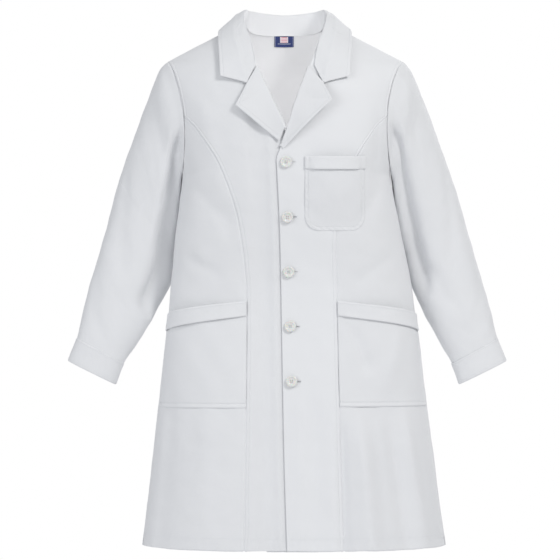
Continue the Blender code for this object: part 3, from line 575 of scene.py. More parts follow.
# ---- materials -------------------------------------------------------
class Nodes:
    """Short ways to add nodes to a material."""

    def __init__(self, name):
        self.material = bpy.data.materials.new(name)
        self.material.use_nodes = True
        self.tree = self.material.node_tree
        self.shader = self.tree.nodes["Principled BSDF"]

    def add(self, kind, inputs=(), **settings):
        node = self.tree.nodes.new(kind)
        for key, value in settings.items():
            setattr(node, key, value)
        for key, value in dict(inputs).items():
            if isinstance(value, bpy.types.NodeSocket):
                self.tree.links.new(value, node.inputs[key])
            else:
                node.inputs[key].default_value = value
        return node

    def math(self, operation, a, b=0.0):
        return self.add("ShaderNodeMath", {0: a, 1: b}, operation=operation).outputs[0]

    def link(self, socket, key):
        self.tree.links.new(socket, self.shader.inputs[key])

    def set(self, **values):
        for key, value in values.items():
            self.shader.inputs[key.replace("_", " ")].default_value = value

    def scaled(self, value, factor, offset):
        return self.math("ADD", self.math("MULTIPLY", value, factor), offset)

    def wave(self, value, pitch):
        return self.math("SINE", self.math("MULTIPLY", value, 2 * math.pi / pitch))

    def away(self, value, middle):
        return self.math("ABSOLUTE", self.math("SUBTRACT", value, middle))

    def sheet_place(self):
        """The place on a sheet of cloth, and the distances across it and along it."""
        place = self.add("ShaderNodeAttribute", attribute_name="weave").outputs["Vector"]
        split = self.add("ShaderNodeSeparateXYZ", {0: place})
        return place, split.outputs[0], split.outputs[1]

    def object_place(self):
        return self.add("ShaderNodeTexCoord").outputs["Object"]

    def colour(self, factor, *stops):
        """The base colour, from a factor and two stops of (place, red, green, blue)."""
        node = self.add("ShaderNodeValToRGB", {0: factor})
        for stop, (place, *colour) in zip(node.color_ramp.elements, stops):
            stop.position, stop.color = place, (*colour, 1)
        self.link(node.outputs[0], "Base Color")

    def noise(self, vector, scale, detail=3.0):
        return self.add("ShaderNodeTexNoise", {"Vector": vector, "Scale": scale, "Detail": detail}).outputs[0]

    def bump(self, height, distance, strength=1.0, normal=None):
        inputs = {"Height": height, "Distance": distance, "Strength": strength}
        if normal is not None:
            inputs["Normal"] = normal
        return self.add("ShaderNodeBump", inputs).outputs[0]


def woven(name, light, dark, yarn, roughness, sheen):
    """Twill cloth: crossing yarns, thicker and thinner ones among them, faint creases, and a soft fuzz. Its
    colour is a random tone plus painted shade between the yarns.
    """
    made = Nodes(name)
    place, across, along = made.sheet_place()
    warp, weft = made.wave(across, yarn), made.wave(along, yarn)
    twill = made.wave(made.math("ADD", across, along), 2 * yarn)
    crossing = made.math("ADD", made.math("MULTIPLY", warp, weft), made.math("MULTIPLY", twill, 0.6))
    stretch = made.add("ShaderNodeMapping", {"Vector": place, "Scale": (1.0, 0.06, 1.0)}).outputs[0]
    slubs = made.noise(stretch, 0.25 / yarn, 2.0)
    height = made.math("ADD", crossing, made.math("MULTIPLY", slubs, 1.4))
    creases = made.noise(place, 38.0, 4.0)
    fine = made.bump(height, yarn * 0.1, 0.7)
    made.link(made.bump(creases, 0.002, 0.35, fine), "Normal")
    # Colour: a random tone plus painted shade, darker in the hollows between the yarns and lighter where they
    # cross up
    tone_and_yarn_shade = made.math("ADD", made.math("MULTIPLY", made.noise(place, 9.0, 5.0), 0.6),
                     made.math("MULTIPLY", made.math("ADD", crossing, 1.0), 0.12))
    made.colour(tone_and_yarn_shade, (0.15, *dark), (0.75, *light))
    made.link(made.scaled(made.noise(place, 60.0, 3.0), 0.12, roughness - 0.06), "Roughness")
    made.set(Sheen_Weight=sheen, Sheen_Roughness=0.5, IOR=1.45, Specular_IOR_Level=0.25)
    return made.material


def button_look():
    """Pressed polyester: cloudy greenish white with a soft gloss and fine turning marks."""
    made = Nodes("button_polyester")
    place = made.object_place()
    made.colour(made.noise(place, 260.0, 4.0), (0.25, 0.76, 0.77, 0.735), (0.8, 0.83, 0.84, 0.815))
    scratches = made.noise(place, 2400.0, 3.0)
    made.link(made.scaled(scratches, 0.18, 0.16), "Roughness")
    made.link(made.bump(scratches, 0.00003, 0.3), "Normal")
    made.set(Coat_Weight=0.35, Coat_Roughness=0.12, Subsurface_Weight=0.15, Subsurface_Scale=0.002)
    return made.material


def thread_look():
    """Spun sewing thread with a visible twist, and painted shade in the grooves of the twist."""
    made = Nodes("sewing_thread")
    place = made.object_place()
    twist = made.add("ShaderNodeTexWave", {"Vector": place, "Scale": 900.0, "Distortion": 2.0}).outputs[1]
    # Painted shade: the colour darkens in the grooves of the twist
    made.colour(twist, (0.0, 0.72, 0.73, 0.76), (1.0, 0.84, 0.85, 0.87))
    made.link(made.bump(twist, 0.00004, 0.6), "Normal")
    made.link(made.scaled(twist, 0.15, 0.5), "Roughness")
    made.set(Sheen_Weight=0.2)
    return made.material


def label_look():
    """Navy damask with a plain pale bar and a border line at each end."""
    made = Nodes("label_damask")
    place, x, y = made.sheet_place()
    bar_y, bar_half_height, bar_half_width = 0.0148, 0.0005, 0.0115
    border_inset, border_half_width = 0.0016, 0.00022
    from_middle = made.away(x, LABEL[0] / 2)
    bar = made.math("MULTIPLY", made.math("LESS_THAN", made.away(y, bar_y), bar_half_height),
                    made.math("LESS_THAN", from_middle, bar_half_width))
    border = made.math("LESS_THAN", made.away(from_middle, LABEL[0] / 2 - border_inset), border_half_width)
    pattern = made.math("MAXIMUM", bar, border)
    made.colour(pattern, (0.0, 0.012, 0.03, 0.16), (1.0, 0.55, 0.6, 0.72))
    ribs = made.wave(y, 0.00035)
    made.link(made.bump(made.math("ADD", ribs, made.math("MULTIPLY", pattern, 2.0)), 0.00006, 0.6), "Normal")
    made.link(made.scaled(made.noise(place, 500.0), 0.2, 0.45), "Roughness")
    made.set(Sheen_Weight=0.25)
    return made.material


def tab_look():
    """White taffeta with three faded red bars."""
    made = Nodes("tab_taffeta")
    place, x, y = made.sheet_place()
    inset = made.math("LESS_THAN", made.away(x, SIZE_TAB[0] / 2), SIZE_TAB[0] * 0.36)
    bars = made.math("GREATER_THAN", made.wave(y, 0.003), 0.25)
    made.colour(made.math("MULTIPLY", inset, bars), (0.0, 0.8, 0.74, 0.78), (1.0, 0.72, 0.24, 0.3))
    made.link(made.bump(made.wave(x, 0.0003), 0.00005, 0.6), "Normal")
    made.link(made.scaled(made.noise(place, 500.0), 0.2, 0.5), "Roughness")
    return made.material


def floor_look():
    made = Nodes("floor_paint")
    made.colour(made.noise(made.object_place(), 6.0), (0.2, 0.8, 0.8, 0.81), (0.8, 0.84, 0.84, 0.85))
    made.set(Roughness=0.8)
    return made.material


# ---- torso -----------------------------------------------------------
def core(z):
    """The middle of the torso at a height, which lies behind every sheet."""
    return (float(middle_x(z)), MIDDLE_Y, z)


def hem_rows():
    """(z, lift) of the turned-up inside of the hem, of its fold and of its outside with the stitched row."""
    rows = [(height - LENGTH, -HEM_GAP) for height in (HEM_TURN, 0.0165, 0.011, 0.0055, 0.0018)]
    fold = ((0.0005, 0.82), (0.0, 0.5), (0.0005, 0.18))
    rows += [(height - LENGTH, -share * HEM_GAP) for height, share in fold]
    outside = (0.0014, 0.003, 0.007, 0.0115, 0.016, 0.0205, 0.0213, HEM_TURN, 0.0227, 0.0235)
    return rows + [(height - LENGTH, 0.0) for height in outside]


def make_panel(name, side, bounds, top_z, lift=None, top=None, left=SEWN_EDGE, right=SEWN_EDGE,
               left_relief=stitched_seam, right_relief=stitched_seam, thickness=CLOTH, seed=1):
    """A torso panel from its hem to the shoulder, between the x of two boundaries."""
    rows = hem_rows()
    rows += [(z, 0.0) for z in spaced(rows[-1][0] + 0.004, top_z, 0.0048)]
    top_rows = 44 if top else 0
    level = np.array([z for z, _ in rows] + [SEAM_TOP_Z] * top_rows)
    inside = np.array([drop for _, drop in rows] + [0.0] * top_rows)
    share = np.concatenate([np.zeros(len(rows)), np.sin(np.linspace(0, 1, top_rows + 1)[1:] * math.pi / 2)])

    def place(u, row):
        z = level[row]
        first, last = bounds(z)
        x = x_of(mix(turn_of(first, z), turn_of(last, z), u), z)
        share_out = np.minimum(np.abs(x - middle_x(-LENGTH)) / half_width(-LENGTH), 1.0)
        rise = mix(FRONT_HEM_RISE if side < 0 else 0.0, HEM_RISE, share_out**3)
        z = z + rise * np.clip((HEM_RISE_FROM - z) / (LENGTH + HEM_RISE_FROM), 0, 1)
        if top:
            above = share[row] > 0
            x, z = (np.where(above, upper, lower) for upper, lower in zip(top(u, share[row]), (x, z)))
        lowered = lift(x, z) if lift else 0.0
        return lifted(x, z, side, lowered + inside[row])

    def detail(made):
        total = left_relief(made.from_left) + right_relief(made.from_right)
        total = total + pucker(made.from_left, made.along, seed)
        total = total + pucker(made.from_right, made.along, seed + 2)
        x, z = made.x, made.z
        outside = np.arange(len(level))[:, None] >= FIRST_OUTSIDE_ROW
        total = total - STITCH_DIP * bump(z + LENGTH - HEM_TURN, 0.0011) * outside
        total = total + 0.00022 * np.sin(x / 0.0023 + 2 * np.sin(x / 0.02)) * bump(z + LENGTH - 0.015, 0.008)
        total = total + 0.00035 * ripple(x, z, 0.05, 7) + 0.0006 * ripple(x, z, 0.14, 8)
        if top:
            total = total * smooth(made.from_end / 0.01) + plain_seam(made.from_end, SHOULDER_SEAM_DIP)
        return total

    return sheet(name, place, len(level), core(-0.4), left, right, detail=detail, thickness=thickness)


def upper_front(inner_x, hand, outer_first):
    """Rows from the top of the princess seam to the shoulder seam, on a front panel."""

    def top(u, share):
        inner_z, outer_z = mix(SEAM_TOP_Z, NECK_SIDE_Z, share), mix(SEAM_TOP_Z, SHOULDER_TIP_Z, share)
        inner, outer = inner_x(inner_z), middle_x(outer_z) + hand * half_width(outer_z)
        u = 1 - u if outer_first else u
        return mix(inner, outer, u), mix(inner_z, outer_z, u)

    return top


def upper_back(hand):
    """Rows from the same level to the neckline and the shoulder seam, on a back panel."""
    neck_share = 1 / 3  # the part of the panel's width that ends at the neckline

    def top(u, share):
        on_neck = u <= neck_share
        end_x = np.where(on_neck, NECK_HALF * u / neck_share,
                         mix(NECK_HALF, SHOULDER_HALF, (u - neck_share) / (1 - neck_share)))
        end_z = np.where(on_neck, neck_z(end_x), shoulder_z(end_x))
        low_x = half_width(SEAM_TOP_Z) * np.sin(u * math.pi / 2)
        z, x = mix(SEAM_TOP_Z, end_z, share), mix(low_x, end_x, share)
        return middle_x(z) + hand * np.where(u >= 1.0, half_width(z), x), z

    return top


def make_torso():
    """Eight panels from the hem to the shoulders, the wearer's left front over the right one."""
    lines = []

    def sewn(made, *distances):
        lines.extend(column_line(made, distance, FIRST_OUTSIDE_ROW) for distance in distances)
        lines.append(row_line(made, 2 * HEM_TURN))

    def edge_thick(from_edge):
        return lambda made: CLOTH + (DOUBLE_CLOTH - CLOTH) * smooth(1.2 - getattr(made, from_edge) / 0.01)

    right = make_panel("front_right_panel", -1, lambda z: (seam_x(z, -1), right_inner_x(z)), SEAM_TOP_Z,
                       lap_lift, upper_front(right_inner_x, -1, True), right=PLAIN_EDGE,
                       right_relief=rounded, thickness=edge_thick("from_right"), seed=3)
    sewn(right, STITCH_FROM_SEAM)
    finish_cloth(right, "coat", "front_right")
    left = make_panel("front_left_panel", -1, lambda z: (left_inner_x(z), seam_x(z, 1)), SEAM_TOP_Z, None,
                      upper_front(left_inner_x, 1, False), left=PLAIN_EDGE, left_relief=rounded,
                      thickness=edge_thick("from_left"), seed=4)
    sewn(left, -STITCH_FROM_SEAM)
    cut_buttonholes(left.object)
    finish_cloth(left, "coat", "front_left")
    for hand, name in SIDES:
        def side_bounds(z, hand=hand):
            return seam_x(z, hand), middle_x(z) + hand * half_width(z)

        def back_bounds(z, hand=hand):
            return middle_x(z), seam_x(z, hand)

        for side, kind in ((-1, "front"), (1, "back")):
            made = make_panel(f"side_{kind}_{name}_panel", side, side_bounds, SEAM_TOP_Z - 0.0012,
                              left_relief=plain_seam, right_relief=plain_seam, seed=5 + hand)
            sewn(made)
            finish_cloth(made, "coat", f"side_{kind}_{name}")
        # Thinner by the depth of the centre seam, so that the seam stays flat inside
        made = make_panel(f"back_{name}_panel", 1, back_bounds, SEAM_TOP_Z, None, upper_back(hand),
                          left_relief=centre_seam, seed=9 + hand,
                          thickness=lambda m: CLOTH + centre_seam(m.from_left))
        sewn(made, *([-STITCH_FROM_SEAM, STITCH_FROM_SEAM] if hand < 0 else [-STITCH_FROM_SEAM]))
        finish_cloth(made, "coat", f"back_{name}")
    finish_stitches("topstitch_torso", lines, "coat")


def make_facing(name):
    """The strip inside a front edge: the left one has the buttonholes, the right one carries the buttons."""
    levels = np.array([0.003 - LENGTH, 0.006 - LENGTH] + spaced(-0.893, ROLL_END_Z - 0.006, 0.006))
    is_left = name == "left"

    def place(u, row):
        z = levels[row]
        x = (curve(FRONT_EDGE, z) + FACING_INSET if is_left else RIGHT_FACING_X) + u * FACING_WIDTH[name]
        return lifted(x, z, -1, (0.0 if is_left else lap_lift(x, z)) - LAYER_DEPTH)

    made = sheet(f"{name}_front_facing", place, len(levels), core(-0.4),
                 detail=lambda m: rounded(m.from_left) + rounded(m.from_right))
    if is_left:
        cut_buttonholes(made.object)
    finish_cloth(made, "coat", f"front_facing_{name}")


# ---- pockets ---------------------------------------------------------
def chest_inset(z):
    """How far the round lower corners come in at a height."""
    missing = np.clip(CHEST_CORNER - (z - CHEST_BOTTOM), 0.0, CHEST_CORNER)
    return CHEST_CORNER - np.sqrt(CHEST_CORNER**2 - missing**2)


def chest_lift(x, z):
    """How far the chest pocket stands off the front."""
    inset = chest_inset(z)
    u = np.clip((x - CHEST_LEFT - inset) / (CHEST_RIGHT - CHEST_LEFT - 2 * inset), 0, 1)
    v = (z - CHEST_TOP) / (CHEST_BOTTOM - CHEST_TOP)
    lift = POCKET_EDGE_LIFT + CHEST_BULGE * np.sin(math.pi * u) * smooth((1 - v) * 1.4)
    return lift + 0.0012 * bump(u - 0.5, 0.3) * bump(v - 0.55, 0.3)


def chest_edge(x, z):
    """Distance inside the outline of the chest pocket, whose lower corners are round."""
    middle, half = (CHEST_LEFT + CHEST_RIGHT) / 2, (CHEST_RIGHT - CHEST_LEFT) / 2
    over = np.abs(x - middle) - (half - CHEST_CORNER)
    under = CHEST_BOTTOM + CHEST_CORNER - z
    straight = np.minimum(half - np.abs(x - middle), z - CHEST_BOTTOM)
    return np.where((over > 0) & (under > 0), CHEST_CORNER - np.hypot(over, under), straight)


def make_chest_pocket():
    """The patch with its round lower corners, and the band over its mouth, sewn down at both ends."""
    band_top, band_bottom = CHEST_BAND
    levels = np.array(spaced(CHEST_TOP, CHEST_BOTTOM + CHEST_CORNER, 0.0018) + [
        CHEST_BOTTOM + CHEST_CORNER * (1 - math.sin(turn)) for turn in np.linspace(0, math.pi / 2, 26)[1:]])

    def place(u, row):
        z = levels[row]
        inset = chest_inset(z)
        x = mix(CHEST_LEFT + inset, CHEST_RIGHT - inset, u)
        return lifted(x, z, -1, chest_lift(x, z))

    def detail(made):
        x, z = made.x, made.z
        away = chest_edge(x, z)
        relief = rounded(away, 0.0018, 0.0012) - 1.2 * STITCH_DIP * bump(away - STITCH_FROM_SEAM, 0.0009)
        relief = relief + 0.0003 * np.sin((x + z) / 0.0019) * bump(away - 0.004, 0.003)
        return relief + 0.0005 * ripple(x, z, 0.05, 21)

    body = sheet("chest_pocket_patch", place, len(levels), core(-0.3), step=0.0016, detail=detail,
                 thickness=DOUBLE_CLOTH)
    finish_cloth(body, "coat", "chest_pocket")
    away = STITCH_FROM_SEAM
    path = [(CHEST_LEFT + away, z) for z in spaced(band_bottom - 0.002, CHEST_BOTTOM + CHEST_CORNER, 0.003)]
    arc_x, arc_z, arc = CHEST_LEFT + CHEST_CORNER, CHEST_BOTTOM + CHEST_CORNER, CHEST_CORNER - away
    path += [(arc_x - arc * math.cos(turn), arc_z - arc * math.sin(turn))
             for turn in np.linspace(0, math.pi / 2, 14)]
    path += [(CHEST_RIGHT + CHEST_LEFT - x, z) for x, z in reversed(path)]
    x, z = np.array(path).T
    lines = [(lifted(x, z, -1, chest_lift(x, z) - STITCH_DIP), outward(x, z, -1))]
    fold = (0.0, 0.0008, 0.002)
    between = spaced(band_top - 0.004, band_bottom + 0.004, 0.003)
    heights = np.array([band_top - s for s in fold] + between + [band_bottom + s for s in reversed(fold)])
    slit_from, slit_to = CHEST_LEFT + CHEST_SLIT_INSET, CHEST_RIGHT - CHEST_SLIT_INSET
    tacks = (slit_from - 0.0015, slit_to + 0.0015)

    def band_lift(x, z):
        drop = np.clip((band_top - z) / (band_top - band_bottom), 0, 1)
        gap = smooth((x - slit_from) / 0.008) * smooth((slit_to - x) / 0.008)
        return chest_lift(x, np.minimum(z, CHEST_TOP)) + LAYER_DEPTH + 0.0026 * gap * drop**2

    def band_place(u, row):
        x, z = mix(CHEST_LEFT, CHEST_RIGHT, u), heights[row]
        return lifted(x, z, -1, band_lift(x, z))

    def band_detail(made):
        x, z = made.x, made.z
        total = rounded(outline_distance(made), 0.0018, 0.0011) + 0.0003 * ripple(x, z, 0.03, 22)
        for tack in tacks:
            total = total - 0.0008 * bump(x - tack, 0.0012)
        return total

    band = sheet("chest_pocket_welt", band_place, len(heights), core(-0.3), step=0.0018,
                 detail=band_detail, thickness=DOUBLE_CLOTH)
    finish_cloth(band, "coat", "chest_pocket_band")
    for tack in tacks:
        z = np.array(spaced(band_top - 0.001, band_bottom + 0.001, 0.002))
        x = np.full_like(z, tack)
        lines.append((lifted(x, z, -1, band_lift(x, z) - 0.0006), outward(x, z, -1)))
    finish_stitches("topstitch_chest_pocket", lines, "coat")


def make_hip_pocket(hand, name):
    """A patch from the princess seam towards the side, and the slanted band over its mouth."""
    def flat(u, v):
        top = mix(HIP_POCKET["seam_top"], HIP_POCKET["side_top"], u)
        z = mix(top, HIP_BOTTOM[hand], v)
        return x_of(mix(turn_of(seam_x(z, hand), z), hand * HIP_POCKET["side"], u), z), z

    def lift(u, v):
        return POCKET_EDGE_LIFT + HIP_BULGE * np.sin(math.pi * np.clip(u, 0, 1)) * smooth((1 - v) * 1.4)

    height = HIP_POCKET["seam_top"] - HIP_BOTTOM[hand]
    fold = (0.013, 0.011, 0.0095, 0.0085, 0.0078, 0.007, 0.0062, 0.005, 0.0036, 0.0024, 0.0014, 0.0006, 0.0)
    levels = np.array(spaced(0, 1 - 0.016 / height, 0.0024 / height) + [1 - away / height for away in fold])

    def place(u, row):
        x, z = flat(u, levels[row])
        return lifted(x, z, -1, lift(u, levels[row]))

    def detail(made):
        x, z = made.x, made.z
        sides = np.minimum(made.from_left, made.from_right)
        total = rounded(made.from_end, 0.002, 0.0014)
        total = total - 1.5 * STITCH_DIP * bump(made.from_end - HIP_STITCH, 0.001)
        total = total + 0.0005 * smooth(1.5 - made.from_end / 0.005)
        total = total + rounded(sides, 0.0014, 0.001)
        return total + 0.0006 * ripple(x, z, 0.07, 31 + hand) + pucker(made.from_end, x, 2.0)

    patch = sheet(f"hip_pocket_{name}_patch", place, len(levels), core(-0.3), step=0.0024, detail=detail,
                  thickness=DOUBLE_CLOTH)
    finish_cloth(patch, "coat", f"hip_pocket_{name}")
    lines = [row_line(patch, -HIP_STITCH)]
    shares = np.concatenate([[0, 0.012, 0.035, 0.08], np.linspace(0.14, 0.88, 10), [0.93, 0.97, 0.988, 1.0]])

    def band_place(u, row):
        v = mix(-0.006, mix(*HIP_BAND, u), shares[row])
        x, z = flat(u, v)
        gap = smooth(u / 0.08) * smooth((1 - u) / 0.08)
        return lifted(x, z, -1, lift(u, v) + LAYER_DEPTH + 0.0022 * gap * shares[row] ** 2)

    def band_detail(made):
        x, z = made.x, made.z
        ends = np.minimum(made.along, made.from_end)
        total = rounded(ends, *FOLDED_EDGE) + rounded(np.minimum(made.from_left, made.from_right))
        total = total + 0.0004 * ripple(x, z, 0.04, 41 + hand)
        return total - STITCH_DIP * bump(made.along - HIP_BAND_STITCH, 0.0009)

    welt = sheet(f"hip_pocket_{name}_welt", band_place, len(shares), core(-0.3), step=0.0024,
                 detail=band_detail, thickness=DOUBLE_CLOTH)
    finish_cloth(welt, "coat", f"hip_pocket_band_{name}")
    lines.append(row_line(welt, HIP_BAND_STITCH))
    finish_stitches(f"topstitch_hip_pocket_{name}", lines, "coat")


# ---- collar and lapels -----------------------------------------------
def collar_point(entry, hand):
    """The point of a collar station, on the side of the given hand."""
    if len(entry) == 2:
        (x, z), lift = entry
        return lifted(np.array(hand * x), np.array(z), -1, lift)
    x, y, z = entry
    return np.array((hand * x, MIDDLE_Y + y, z))


def guide(entries):
    """The points of a line right round the collar, from the wearer's right to the left."""
    half = [collar_point(entry, -1) for entry in entries]
    return np.array(half + [collar_point(entry, 1) for entry in reversed(entries[:-1])])


def along_guide(points, share):
    places = share * (len(points) - 1)
    return np.stack([curve(list(enumerate(points[:, axis])), places) for axis in range(3)], axis=-1)


def make_collar():
    """The stand and the leaf, whose ends are pieces of their own."""
    seam, fold, middle, edge = map(guide, (COLLAR_SEAM, COLLAR_FOLD, COLLAR_MIDDLE, COLLAR_EDGE))
    neck = (0.0, MIDDLE_Y, 0.0)
    end_share = COLLAR_END_STATION / (len(seam) - 1)
    spans = (("back", end_share, 1 - end_share), ("end_right", 0.0, end_share),
             ("end_left", 1 - end_share, 1.0))
    for part, first, last in spans:
        hand = -1 if part == "end_right" else 1
        blend = None if part == "back" else COLLAR_BLEND[hand]
        shares = np.concatenate([[0.0, 0.01], np.linspace(0.05, 0.95, 14), [0.99, 1.0]])

        def stand_place(u, row, first=first, last=last):
            share = mix(max(first, 0.012), min(last, 0.988), u)
            low, high = along_guide(seam, share), along_guide(fold, share)
            return mix(low, high, shares[row][..., None] * 0.97)

        def stand_detail(made):
            total = -0.0008 * bump(made.along, 0.0012) - STITCH_DIP * bump(made.along - 0.006, 0.0009)
            return total + 0.0004 * ripple(made.from_left, made.along, 0.04, 51)

        ends = {"left": JOINT_EDGE if part != "end_right" else PLAIN_EDGE,
                "right": JOINT_EDGE if part != "end_left" else PLAIN_EDGE}
        stand = sheet(f"collar_stand_{part}", stand_place, len(shares), neck, step=0.004, detail=stand_detail,
                      **ends)
        finish_cloth(stand, "coat", "collar_stand", blend=blend)
        stretches = ((0, 0.3, 14), (0.33, 0.86, 18), (0.875, 1.0, 14))
        down = np.concatenate([np.linspace(*stretch) for stretch in stretches])

        def leaf_place(u, row, first=first, last=last):
            share = mix(first, last, u)
            v = down[row]
            a, b, c = (along_guide(line, share) for line in (fold, middle, edge))
            near = mix(a, b, (v / 0.4)[..., None])
            far = mix(b, c, ((v - 0.4) / 0.6)[..., None])
            soft = smooth((v - 0.3) / 0.2)[..., None]
            point = mix(near, far, soft)
            crown = LEAF_CROWN * np.sqrt(np.clip(v / 0.12, 0, 1) * np.clip(2 - v / 0.12, 0, 1))
            return point + np.stack([np.zeros_like(v), np.zeros_like(v), crown - LEAF_CROWN], axis=-1) * 0.5

        def leaf_detail(made, part=part):
            total = rounded(made.from_end, *FOLDED_EDGE)
            total = total - STITCH_DIP * bump(made.from_end - COLLAR_STITCH, 0.0009)
            total = total + 0.0005 * ripple(made.from_left, made.along, 0.05, 52)
            if part == "back":
                return total
            away = made.from_left if part == "end_right" else made.from_right
            total = total + rounded(away, *FOLDED_EDGE) * (made.along > GORGE)
            return total + plain_seam(away, GORGE_DEPTH) * (made.along < GORGE)

        leaf = sheet(f"collar_leaf_{part}", leaf_place, len(down), neck, step=0.003, detail=leaf_detail,
                     thickness=DOUBLE_CLOTH, **ends)
        finish_cloth(leaf, "coat", "collar_leaf", blend=blend)
        finish_stitches(f"topstitch_collar_{part}", [row_line(leaf, -COLLAR_STITCH)], "coat", blend)


def lapel_edge(name):
    """The outline of a lapel from its lower end to its tip, then to the notch, as functions of the share."""
    edge = RIGHT_LAPEL_EDGE if name == "right" else LEFT_LAPEL_EDGE

    def at(share):
        low = np.clip(share / LAPEL_CORNER, 0, 1)
        high = np.clip((share - LAPEL_CORNER) / (1 - LAPEL_CORNER), 0, 1)
        values = []
        for axis in (0, 1):
            below = curve([(0.0, edge[0][axis]), (0.5, edge[1][axis]), (1.0, edge[2][axis])], low)
            values.append(np.where(share < LAPEL_CORNER, below, mix(edge[2][axis], edge[3][axis], high)))
        return values

    return at


def make_lapel(hand, name):
    """A turned-back lapel: the cloth wraps round the roll line and then lies over the chest."""
    roll = RIGHT_ROLL if name == "right" else LEFT_ROLL
    low, high = LAPEL_SPAN[name]
    edge = lapel_edge(name)
    rows = np.array(spaced(0, LAPEL_CORNER, 0.022)[:-1] + [LAPEL_CORNER + step for step in (-0.004, 0, 0.008)]
                    + spaced(LAPEL_CORNER, 1.0, 0.03)[1:-1] + [0.985, 0.994, 1.0])

    def place(u, row):
        v = rows[row]
        z = mix(low, high, v)
        end_x, end_z = edge(v)
        start_x = curve(roll, z)
        wrap = np.clip((u - WRAP) / (1 - WRAP), 0, 1)
        x, z_out = mix(start_x, end_x, wrap), mix(z, end_z, wrap)
        lift = LAPEL_LIFT + LAPEL_STAND[hand] * (1 - wrap) ** 2
        above_tip = np.maximum(v - LAPEL_CORNER, 0.0) * LAPEL_HOLD[hand] + np.minimum(v - LAPEL_CORNER, 0.0)
        lift = lift + LAPEL_TIP_LIFT[hand] * wrap**1.2 * bump(above_tip, 0.42)
        turn = np.clip(u / WRAP, 0, 1) * math.pi
        radius = (lift + LAPEL_BEHIND) / 2
        x = np.where(u < WRAP, start_x - hand * radius * np.sin(turn), x)
        z_out = np.where(u < WRAP, z, z_out)
        lift = np.where(u < WRAP, -LAPEL_BEHIND + radius * (1 - np.cos(turn)), lift)
        return lifted(x, z_out, -1, lift)

    def detail(made):
        total = rounded(made.from_right, *FOLDED_EDGE)
        total = total - STITCH_DIP * bump(made.from_right - COLLAR_STITCH, 0.0009)
        total = total + 0.0006 * ripple(made.from_left, made.along, 0.06, 61 + hand)
        return total + rounded(made.from_end, 0.0018, 0.0003)

    lapel = sheet(f"lapel_{name}_fold", place, len(rows), core(-0.2), PLAIN_EDGE, SEWN_EDGE, 0.0026, detail,
                  thickness=DOUBLE_CLOTH)
    finish_cloth(lapel, "coat", f"lapel_{name}", blend=LAPEL_BLEND[hand])
    stitched = [column_line(lapel, -COLLAR_STITCH, 2, -2)]
    finish_stitches(f"topstitch_lapel_{name}", stitched, "coat", LAPEL_BLEND[hand])


# ---- sleeves ---------------------------------------------------------
def sleeve_stations():
    """(outer, inner, y, depth) of each row, whose first follows the armhole of the torso."""
    armhole = (SHOULDER_HALF, SHOULDER_TIP_Z), (float(half_width(UNDERARM_Z)), UNDERARM_Z)
    return [(*armhole, *SLEEVE_HEAD), *SLEEVE]


def sleeve_middle(hand, at):
    """The middle of the sleeve at a place along its rows."""
    centres = [(hand * (outer[0] + inner[0]) / 2, MIDDLE_Y + y, (outer[1] + inner[1]) / 2)
               for outer, inner, y, _ in sleeve_stations()]
    return np.stack([np.interp(at, np.arange(len(centres)), column) for column in zip(*centres)], axis=-1)


def sleeve_rings(hand, angle):
    """Points of the sleeve at an angle round it, for each of its rows."""
    rings = []
    for k, (outer, inner, y, depth) in enumerate(sleeve_stations()):
        first = np.array((hand * outer[0] + float(curve(OUTER_SHIFT, outer[1])), MIDDLE_Y + y, outer[1]))
        second = np.array((hand * inner[0] + float(curve(SLEEVE_SHIFT, inner[1])), MIDDLE_Y + y, inner[1]))
        point = (first + second) / 2 + (first - second) / 2 * np.cos(angle)[..., None]
        forward = np.sin(angle)
        point[..., 1] -= depth * np.sign(forward) * np.abs(forward) ** (SLEEVE_POWER if k else 1.0)
        if k == 0:
            point[..., 0] = middle_x(point[..., 2]) + hand * (half_width(point[..., 2]) + 0.0004)
        rings.append(point)
    return np.stack(rings)


def sleeve_folds(angle, row, hand):
    """Soft creases of the hanging sleeve."""
    total = np.zeros(angle.shape)
    for a0, r0, a1, r1, width, height in SLEEVE_FOLDS[hand] + COMMON_SLEEVE_FOLDS:
        share = np.clip((row - r0) / (r1 - r0), 0, 1)
        away = np.abs(angle - mix(a0, a1, share))
        away = np.minimum(away, 2 * math.pi - away)
        total += height * bump(away, width) * smooth((row - r0) * 1.6 + 0.4) * smooth((r1 - row) * 1.2 + 0.4)
    across, along = np.cos(angle) * 0.06 + row * 0.01, np.sin(angle) * 0.06 + row * 0.03
    wave = 0.0012 * ripple(across, along, 0.09, 71 + hand)
    return (total + wave) * smooth(row / 0.25) * smooth((CUFF_ROW - row) / 0.5)


def sleeve_rows(part, first, last):
    """Where a part of the sleeve has its rows, closer together at its ends."""
    starts = {"upper": (0.0, 0.004, 0.01, 0.02, 0.035, 0.06), "lower": (0.0, 0.004),
              "cuff": (0, 0.008, 0.02, 0.045, 0.08)}
    ends = {"upper": (0.004, 0.0), "lower": (0.1, 0.06, 0.03, 0.014, 0.0), "cuff": (0.06, 0.03, 0.012, 0.0)}
    gaps = (0.12, 0.12, 0.07) if part == "cuff" else (0.09, 0.13, 0.062)
    between = spaced(first + gaps[0], last - gaps[1], gaps[2])
    return np.array([first + s for s in starts[part]] + between + [last - s for s in ends[part]])


